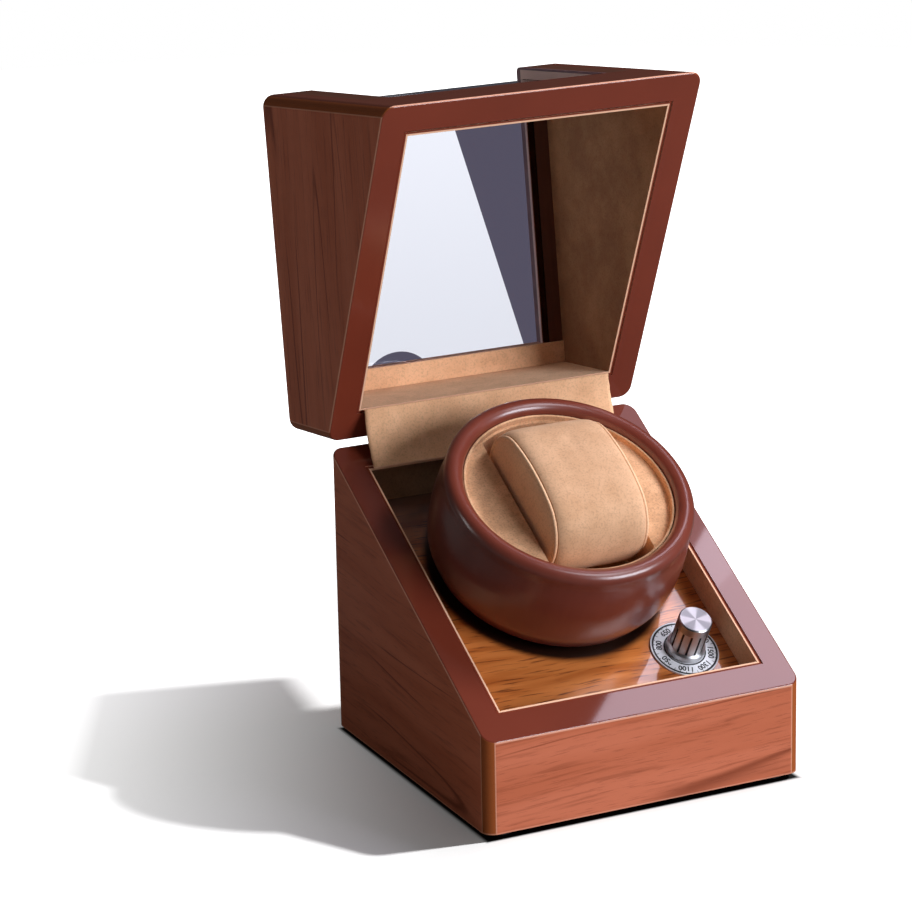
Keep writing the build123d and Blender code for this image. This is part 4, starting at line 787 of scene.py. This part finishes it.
# %% Cup lining
def softened(name, node, width, body, finish):
    """A copy of a node whose sharp edges are rounded, as cloth rounds the board it covers."""
    made = bmesh.new()
    made.from_mesh(nodes[node].data)
    bmesh.ops.remove_doubles(made, verts=made.verts, dist=0.002 * MM)
    bmesh.ops.dissolve_limit(made, angle_limit=math.radians(1.0), verts=made.verts, edges=made.edges)
    obj = finished_piece(name, made, finish, body, [node])
    bevel = obj.modifiers.new("soft_edges", "BEVEL")
    bevel.width = width * MM
    bevel.segments = 3
    bevel.limit_method = "ANGLE"
    bevel.angle_limit = math.radians(30)
    bevel.harden_normals = True


softened("cup_lining", "cup_insert", 0.35, "cup", insert_suede)

# %% [markdown]
# The cushion is a roll of foam in suede that is pressed into the well and pulls out again. Its section is
# an oval of two flat arcs and two round ends. Its middle swells a little and its ends draw in to a seam,
# where an oval cap with a piped edge closes it. Rings of the section are bridged into a tube, and small
# folds, which fade out towards the seams, are pressed into it with noise.

# %% Cushion's section
ledge_height = 41.8
half_run = 33.0
half_rise = 21.0
end_radius = 19.5
section_points = 144
roll_half_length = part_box("cushion")[1].x / MM
cushion_centre = cup_centre + outward * ledge_height * MM


def oval(shrink):
    """Points of the cushion's section, drawn in by a number of millimetres."""
    run, rise, end = half_run - shrink, half_rise - shrink, end_radius - shrink
    flat = ((run - end) ** 2 + rise**2 - end**2) / (2 * (rise - end))
    turn = math.degrees(math.atan2(flat - rise, run - end))
    flat_points = section_points * 3 // 8
    end_points = section_points // 2 - flat_points
    right_end = arc_points((run - end, 0), end, -turn, turn, end_points)[:-1]
    top = arc_points((0, rise - flat), flat, turn, 180 - turn, flat_points)[:-1]
    half = right_end + top
    return half + [(-x, -y) for x, y in half]


def oval_ring(made, x, shrink):
    """Adds one closed ring of the section to a mesh, and returns its edges."""
    verts = [made.verts.new((x * MM, u * MM, v * MM)) for u, v in oval(shrink)]
    return [made.edges.new(pair) for pair in zip(verts, verts[1:] + verts[:1])]


def tube(made, rings):
    """Bridges rings into a tube and closes its two ends."""
    for first, second in zip(rings, rings[1:]):
        bmesh.ops.bridge_loops(made, edges=first + second)
    for ring in (rings[0], rings[-1]):
        bmesh.ops.contextual_create(made, geom=ring)
    bmesh.ops.recalc_face_normals(made, faces=made.faces)


print("the cushion's section is", 2 * half_run, "by", 2 * half_rise, "mm")

# %% Cushion
roll_rings = 33
middle_draw = 0.15
end_draw = 0.35
seam_draw = 1.5
fold_depth = 0.40
crease_depth = 0.20


def swell(x):
    """How far the section is drawn in at a place along the roll."""
    share = abs(x) / roll_half_length
    return middle_draw + end_draw * share**2 + seam_draw * share**10


def cushion_roll():
    """The roll between the caps, with rings that lie closer together towards its ends."""
    made = bmesh.new()
    turns = [math.pi * (i / (roll_rings - 1) - 0.5) for i in range(roll_rings)]
    places = [roll_half_length * math.sin(turn) for turn in turns]
    tube(made, [oval_ring(made, x, swell(x)) for x in places])
    made.normal_update()
    for vert in made.verts:
        x, y, z = vert.co
        fade = min(1.0, 1.15 - abs(x) / (roll_half_length * MM))
        fold = fold_depth * noise.noise(Vector((x * 130, y * 75, z * 75)))
        crease = crease_depth * noise.noise(Vector((x * 320, y * 90, z * 90 + 7)))
        vert.co += vert.normal * min(0.0, fold + crease) * fade * MM
    made.transform(on_slope(cushion_centre))
    return made


roll = finished_piece("cushion_roll", cushion_roll(), cushion_suede, "cushion",
                      ["cushion"], 60)


# %% Cushion caps
cap_steps = [(0.0, 3.6), (0.1, 2.5), (0.5, 2.1), (0.9, 2.05), (1.3, 2.3), (1.5, 2.8), (1.35, 3.3),
             (0.95, 3.65), (0.9, 3.9), (1.15, 4.3), (1.4, 5.0), (1.52, 6.5), (1.58, 9.0), (1.6, 13.0)]


def cushion_cap(side):
    """One oval cap: a piped edge, a groove and a puffed face, in steps of (out, drawn in)."""
    made = bmesh.new()
    tube(made, [oval_ring(made, side * (roll_half_length + out), shrink) for out, shrink in cap_steps])
    made.transform(on_slope(cushion_centre))
    return made


for side, side_name in ((-1, "left"), (1, "right")):
    finished_piece("cushion_cap_" + side_name, cushion_cap(side), cap_painted_light_suede, "cushion",
                               smooth_angle=80)
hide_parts("cushion_caps")

# %% [markdown]
# The flap is one strip of suede glued to the two linings. It bridges the gap at the hinges, so it has to
# bend when the lid shuts. It hangs between its two hems with a slight bulge.

# %% Flap
flap_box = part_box("hinge_flap")
flap_thickness = 0.8
flap_half_width = 56.2
flap_rows = 24
flap_columns = 64
flap_bulge = 1.2
ripple_height = 0.35
ripple_length = 17
edge_wander = 0.35
lid_hem_in = 0.75
lid_hem_down = 0.3
base_hem = Vector((0.0, flap_box[0].y, flap_box[0].z))
lid_hem = Vector((0.0, flap_box[1].y - lid_hem_in * MM, flap_box[1].z - lid_hem_down * MM))


def flap_mesh():
    """A grid between the two hems, bulged and rippled, whose side edges wander a little."""
    made = bmesh.new()
    bmesh.ops.create_grid(made, x_segments=flap_columns, y_segments=flap_rows, size=0.5)
    climb = lid_hem - base_hem
    inward = climb.normalized().cross(across)
    for vert in made.verts:
        share = vert.co.y + 0.5
        x = vert.co.x * 2 * flap_half_width
        slack = math.sin(math.pi * share)
        ripple = ripple_height * noise.noise(Vector((x / ripple_length, share * 1.3, 3.0)))
        wander = edge_wander * noise.noise(Vector((share * 5, 1.0, math.copysign(9, x))))
        vert.co = base_hem + climb * share + inward * (flap_bulge + ripple) * slack * MM
        vert.co.x = (x - math.copysign(abs(wander * x) / flap_half_width, x)) * MM
    return made


flap = finished_piece("flap_suede", flap_mesh(), lining_suede, None, ["hinge_flap"], 80)
flap_wall = flap.modifiers.new("thickness", "SOLIDIFY")
flap_wall.thickness = flap_thickness * MM
flap_wall.offset = 0.0
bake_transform(flap)

# %% [markdown]
# The dial under the knob is a bright plate with printed marks: plain rings, ticks and the numbers of
# turns a day. Rings and ticks are thin flat pieces just above the plate, and each number is text turned
# into a mesh and laid on the slope, facing out from the middle.

# %% Dial rings and ticks
dial_top = 0.8
mark_height = 0.03
dial_ring_radii = ((12.9, 13.7), (8.2, 8.8))
tick_outer = 12.95
tick_width = 0.22
tick_lengths = (1.1, 0.6, 0.6, 0.6)
dial_ink = moulded("dial_ink", (0.012, 0.012, 0.013), 0.5)
dial_numbers = ["650", "800", "950", "1100", "1300", "1500", "1700", "1900"]


def ring_profile(inner, outer):
    """A flat ring just above the dial."""
    low, high = dial_top - 0.01, dial_top + mark_height
    return [(inner, low), (outer, low), (outer, high), (inner, high), (inner, low)]


def dial_marks():
    """The rings and the ticks, as one mesh."""
    made = bmesh.new()
    for inner, outer in dial_ring_radii:
        ring = lathe(ring_profile(inner, outer), knob_centre, 96)
        piece = bpy.data.meshes.new("ring")
        ring.to_mesh(piece)
        ring.free()
        made.from_mesh(piece)
    lengths = tick_lengths * len(dial_numbers)
    for i, length in enumerate(lengths):
        turn = Matrix.Rotation(2 * math.pi * i / len(lengths), 4, "Z")
        size = Matrix.Diagonal((length * MM, tick_width * MM, 2 * mark_height * MM, 1))
        spot = Matrix.Translation(((tick_outer - length / 2) * MM, 0, dial_top * MM))
        tick = bmesh.ops.create_cube(made, size=1.0)
        bmesh.ops.transform(made, verts=tick["verts"], matrix=on_slope(knob_centre) @ turn @ spot @ size)
    return made


finished_piece("dial_rings", dial_marks(), dial_ink, "base")

# %% Dial numbers
number_radius = 10.6
number_height = 3.3
number_boldness = 0.09


def dial_number(index, text):
    """One number of the dial, halfway between two long ticks."""
    curve = bpy.data.curves.new("number", "FONT")
    curve.body = text
    curve.size = number_height * MM
    curve.offset = number_boldness * MM
    curve.extrude = mark_height * MM
    curve.align_x = "CENTER"
    curve.align_y = "CENTER"
    writer = linked("number", curve)
    made = bmesh.new()
    made.from_mesh(writer.to_mesh())
    bpy.data.objects.remove(writer)
    turn = Matrix.Rotation(2 * math.pi * (index + 0.5) / len(dial_numbers), 4, "Z")
    spot = Matrix.Translation((0, number_radius * MM, (dial_top + 0.005) * MM))
    made.transform(on_slope(knob_centre) @ turn @ spot)
    finished_piece(f"dial_number_{index + 1}", made, dial_ink, "base")


for index, text in enumerate(dial_numbers):
    dial_number(index, text)

# %% [markdown]
# The object stands on white paper in a white room. A surface that is lit can't be plain white and still
# hold a soft shadow, so the paper glows for the camera by as much as it should be lifted: hardly at all
# in the shadow that falls to the left, more where the shadow pales, a little beside the case, and fully
# further out. Under the case a contact shadow is painted dark. Bounced light and mirrors meet a duller
# paper, so that it lights the object less from below, and a ray straight through the pane sees it nearly
# white. The floor, the lamps and the cards are sized and placed in metres.

# %% Floor's values
floor_radius = 1.6
shadow_way = Vector((-0.9015, 0.4327, 0.0))
shadow_pales = (35 * MM, 300 * MM)
shadow_ends = (165 * MM, 212 * MM)
shadow_lift = 0.05
beside_width = 14 * MM
beside_lift = 0.40
off_shadow = (0.0, 60 * MM)
near_reach = (100 * MM, 240 * MM)
near_off_shadow = (0.0, 80 * MM)
far_reach = (260 * MM, 360 * MM)
case_foot_edge = (-1.5 * MM, 1.0 * MM)
mirrored_share = 0.08
behind_window = (0.20, 1.40)
behind_window_white = (0.84, 1.06)
paper_bounced = (0.30, 0.30, 0.30)
paper_mirrored = (0.06, 0.06, 0.06)
paper_painted_contact_shadow = (0.02, 0.02, 0.02)
paper_shown = (0.95, 0.95, 0.95)
white = (1.0, 1.0, 1.0, 1.0)
print("the shadow points", round(math.degrees(math.atan2(shadow_way.y, shadow_way.x))), "degrees round")


# %% Floor's finish
def through_pane(recipe):
    """A mask for a ray that has come through the pane without meeting a mirror first."""
    return recipe.both(recipe.ray("Is Transmission Ray"),
                       recipe.maths("LESS_THAN", recipe.ray("Glossy Depth"), 0.5))


def whitening(finish, place, x, y):
    """How far the paper is lifted to white: where the shadow pales, beside the case and far out."""
    to_left = finish.dot(place, shadow_way)
    reach = finish.vector("LENGTH", place, output="Value")
    paling = finish.either(finish.ease(to_left, *shadow_pales, shadow_lift, 1.0),
                           finish.ease(to_left, *shadow_ends))
    beside = finish.ease(finish.maths("MAXIMUM", x, finish.maths("MULTIPLY", y, -1.0)),
                         case_half, case_half + beside_width, 0.0, beside_lift)
    return finish.either(
        paling,
        finish.ease(reach, *far_reach),
        finish.both(finish.ease(reach, *near_reach), finish.ease(to_left, *near_off_shadow, 1.0, 0.0)),
        finish.both(beside, finish.ease(to_left, *off_shadow, 1.0, 0.0)))


def floor_finish():
    """White paper that keeps the object's shadow, a painted contact shadow under the case, plain white further
    out.
    """
    finish = Finish("floor_paper", roughness=1.0, Specular_IOR_Level=0.0, Emission_Color=white)
    place = finish.place()
    x, y = [finish.part_of(place, axis) for axis in "XY"]
    to_camera, to_mirror = finish.ray("Is Camera Ray"), finish.ray("Is Glossy Ray")
    from_case = finish.maths("SUBTRACT", finish.maths(
        "MAXIMUM", finish.maths("ABSOLUTE", x), finish.maths("ABSOLUTE", y)), case_half)
    outside = finish.ease(from_case, *case_foot_edge)
    seen = finish.either(to_camera, finish.maths("MULTIPLY", to_mirror, mirrored_share))
    near_white = finish.both(seen, whitening(finish, place, x, y), outside)
    behind_pane = finish.both(through_pane(finish), finish.ease(y, *behind_window, *behind_window_white))
    finish.set("Emission Strength", finish.either(near_white, behind_pane))
    unseen_paper = finish.mix(to_mirror, paper_bounced, paper_mirrored)
    # Painted contact shadow: the paper is dark under the case.
    seen_paper = finish.mix(outside, paper_painted_contact_shadow, paper_shown)
    finish.set("Base Color", finish.mix(to_camera, unseen_paper, seen_paper))
    return finish


paper = floor_finish()
print("paper with", len(paper.tree.nodes), "nodes")

# %% Floor
floor_mesh = bmesh.new()
bmesh.ops.create_circle(floor_mesh, cap_ends=True, segments=96, radius=floor_radius)
floor = mesh_object("floor", floor_mesh)
wear([floor], paper)
print("floor", 2 * floor_radius, "m across")

# %% [markdown]
# The room is the world's background. The camera, and a ray straight through the pane, see it as plain
# white. Everything else gets a low even light from it, and a polished surface mirrors even less, because
# a real studio is mostly dark behind the camera.

# %% Room
room_light = 0.12
room_mirrored = 0.05
world = bpy.data.worlds.new("room")
bpy.context.scene.world = world
room = Recipe(world, "Background")
unseen = room.ease(room.ray("Is Glossy Ray"), 0.0, 1.0, room_light, room_mirrored)
seen = room.either(room.ray("Is Camera Ray"), through_pane(room))
room.set("Strength", room.ease(seen, 0.0, 1.0, unseen, 1.0))
room.set("Color", white)
print("room level", room_light)

# %% [markdown]
# A key lamp high on the right lights the object, and a broad lamp in front on the right lights the front
# board and the cup, and leaves the left side dark. The key is hidden from mirrors. Two soft panels beside
# it are what the polished rims and the deck mirror, with a hard edge where they end, and a long strip on
# the left draws the streak on the cup's shoulder.


# %% Helpers for lamps
def lamp(name, place, shine, size, level, side=(0, 0, 1), colour=(1.0, 1.0, 1.0)):
    """A flat soft lamp that shines one way, with a level of radiance, where 1 is white."""
    data = bpy.data.lights.new(name, "AREA")
    data.shape = "RECTANGLE"
    data.size, data.size_y = size
    data.energy = level * math.pi * size[0] * size[1]
    data.color = colour
    obj = linked(name, data)
    back = -Vector(shine).normalized()
    upright = back.cross(Vector(side)).normalized()
    turn = Matrix((upright.cross(back), upright, back)).transposed()
    obj.matrix_world = Matrix.Translation(place) @ turn.to_4x4()
    return obj


def receivers(name, obj, state="INCLUDE"):
    """A collection that makes a lamp shine on one object alone, or on all but that one."""
    collection = bpy.data.collections.new(name)
    collection.objects.link(obj)
    collection.collection_objects[0].light_linking.link_state = state
    return collection


# %% Lamps
object_middle = Vector((0.0, 0.0, 0.08))
cool_white = (1.0, 1.05, 1.16)
key_way = Vector((0.6904, -0.0700, 0.7204))
key_distance = 1.55
front_place = Vector((0.95, -1.55, 0.66))
left_place = Vector((-1.40, 0.37, 0.44))
panel_colour = (0.92, 0.84, 1.0)
front_panel_place = Vector((0.837, 0.058, 1.437))
front_panel_side = Vector((0.547, 0.701, -0.457))
back_panel_place = Vector((0.866, 0.348, 1.479))
back_panel_side = Vector((0.655, 0.484, -0.580))
key = lamp("key_lamp", object_middle + key_distance * key_way, -key_way, (0.34, 0.34), 40.0,
           colour=cool_white)
key.visible_glossy = False
front = lamp("front_lamp", front_place, object_middle - front_place, (0.7, 1.0), 14.5, colour=cool_white)
lamp("front_panel", front_panel_place, -key_way, (0.493, 0.29), 6.0, front_panel_side, panel_colour)
lamp("back_panel", back_panel_place, -key_way, (0.23, 0.26), 1.5, back_panel_side, panel_colour)
streak = lamp("left_strip", left_place, object_middle - left_place, (0.60, 0.12), 8.0)
streak.visible_diffuse = False

# %% [markdown]
# The floor's shadow is sharper and more even than these lamps would throw, so the floor gets a light of
# its own: a sun lamp that shines on the floor alone, while the key and the front lamp skip it. The cup
# gets a soft glow of its own in the same way, which lifts its dark stain out of the deck's shade. Light
# linking does both: each lamp names a collection of what it shines on.

# %% Linked lamps
sun_way = Vector((0.7000, -0.1300, 0.6400))
sun_level = 3.9
sun_width = math.radians(3.0)
glow_way = Vector((0.34, -0.50, 0.80))
glow_distance = 1.2
sun_data = bpy.data.lights.new("floor_sun", "SUN")
sun_data.energy = sun_level
sun_data.angle = sun_width
sun = linked("floor_sun", sun_data)
sun.matrix_world = sun_way.to_track_quat("Z", "Y").to_matrix().to_4x4()
glow = lamp("cup_glow", object_middle + glow_distance * glow_way, -glow_way, (0.45, 0.45), 6.0,
            colour=cool_white)
sun.light_linking.receiver_collection = receivers("floor_only", floor)
glow.light_linking.receiver_collection = receivers("cup_only", cup)
all_but_floor = receivers("all_but_floor", floor, "EXCLUDE")
for obj in (key, front):
    obj.light_linking.receiver_collection = all_but_floor
print("the floor is lit by", sun.name, "and the cup also by", glow.name)

# %% [markdown]
# A clear window in a white room shows nothing, and a real one shows what stands behind it. Two grey
# cards stand behind the lid: a large one with a slanted edge, and a low half-round one. Only rays that
# come through the pane see them, so they neither shade the object nor show beside it.

# %% Cards behind the window
card_depth = 0.45
slanted_corners = [(0.111, 0.355), (0.42, 0.355), (0.42, 0.02), (0.2175, 0.02)]
low_card_middle = (0.136, 0.024)
low_card_radius = 0.022
card_grey = Finish("card_grey", colour=(0.0, 0.0, 0.0), roughness=1.0, Emission_Strength=1.0,
                   Emission_Color=(0.100, 0.090, 0.125, 1.0))
card_grey.set("Alpha", card_grey.ray("Is Transmission Ray"))


def card(name, corners):
    """A grey card from its corners (x, z), standing upright behind the lid."""
    made = bmesh.new()
    made.faces.new([made.verts.new((x, card_depth, z)) for x, z in corners])
    obj = mesh_object(name, made)
    wear([obj], card_grey)


card("slanted_card", slanted_corners)
card("low_card", arc_points(low_card_middle, low_card_radius, 0, 180, 24))
print("cards stand", card_depth, "m behind the middle")
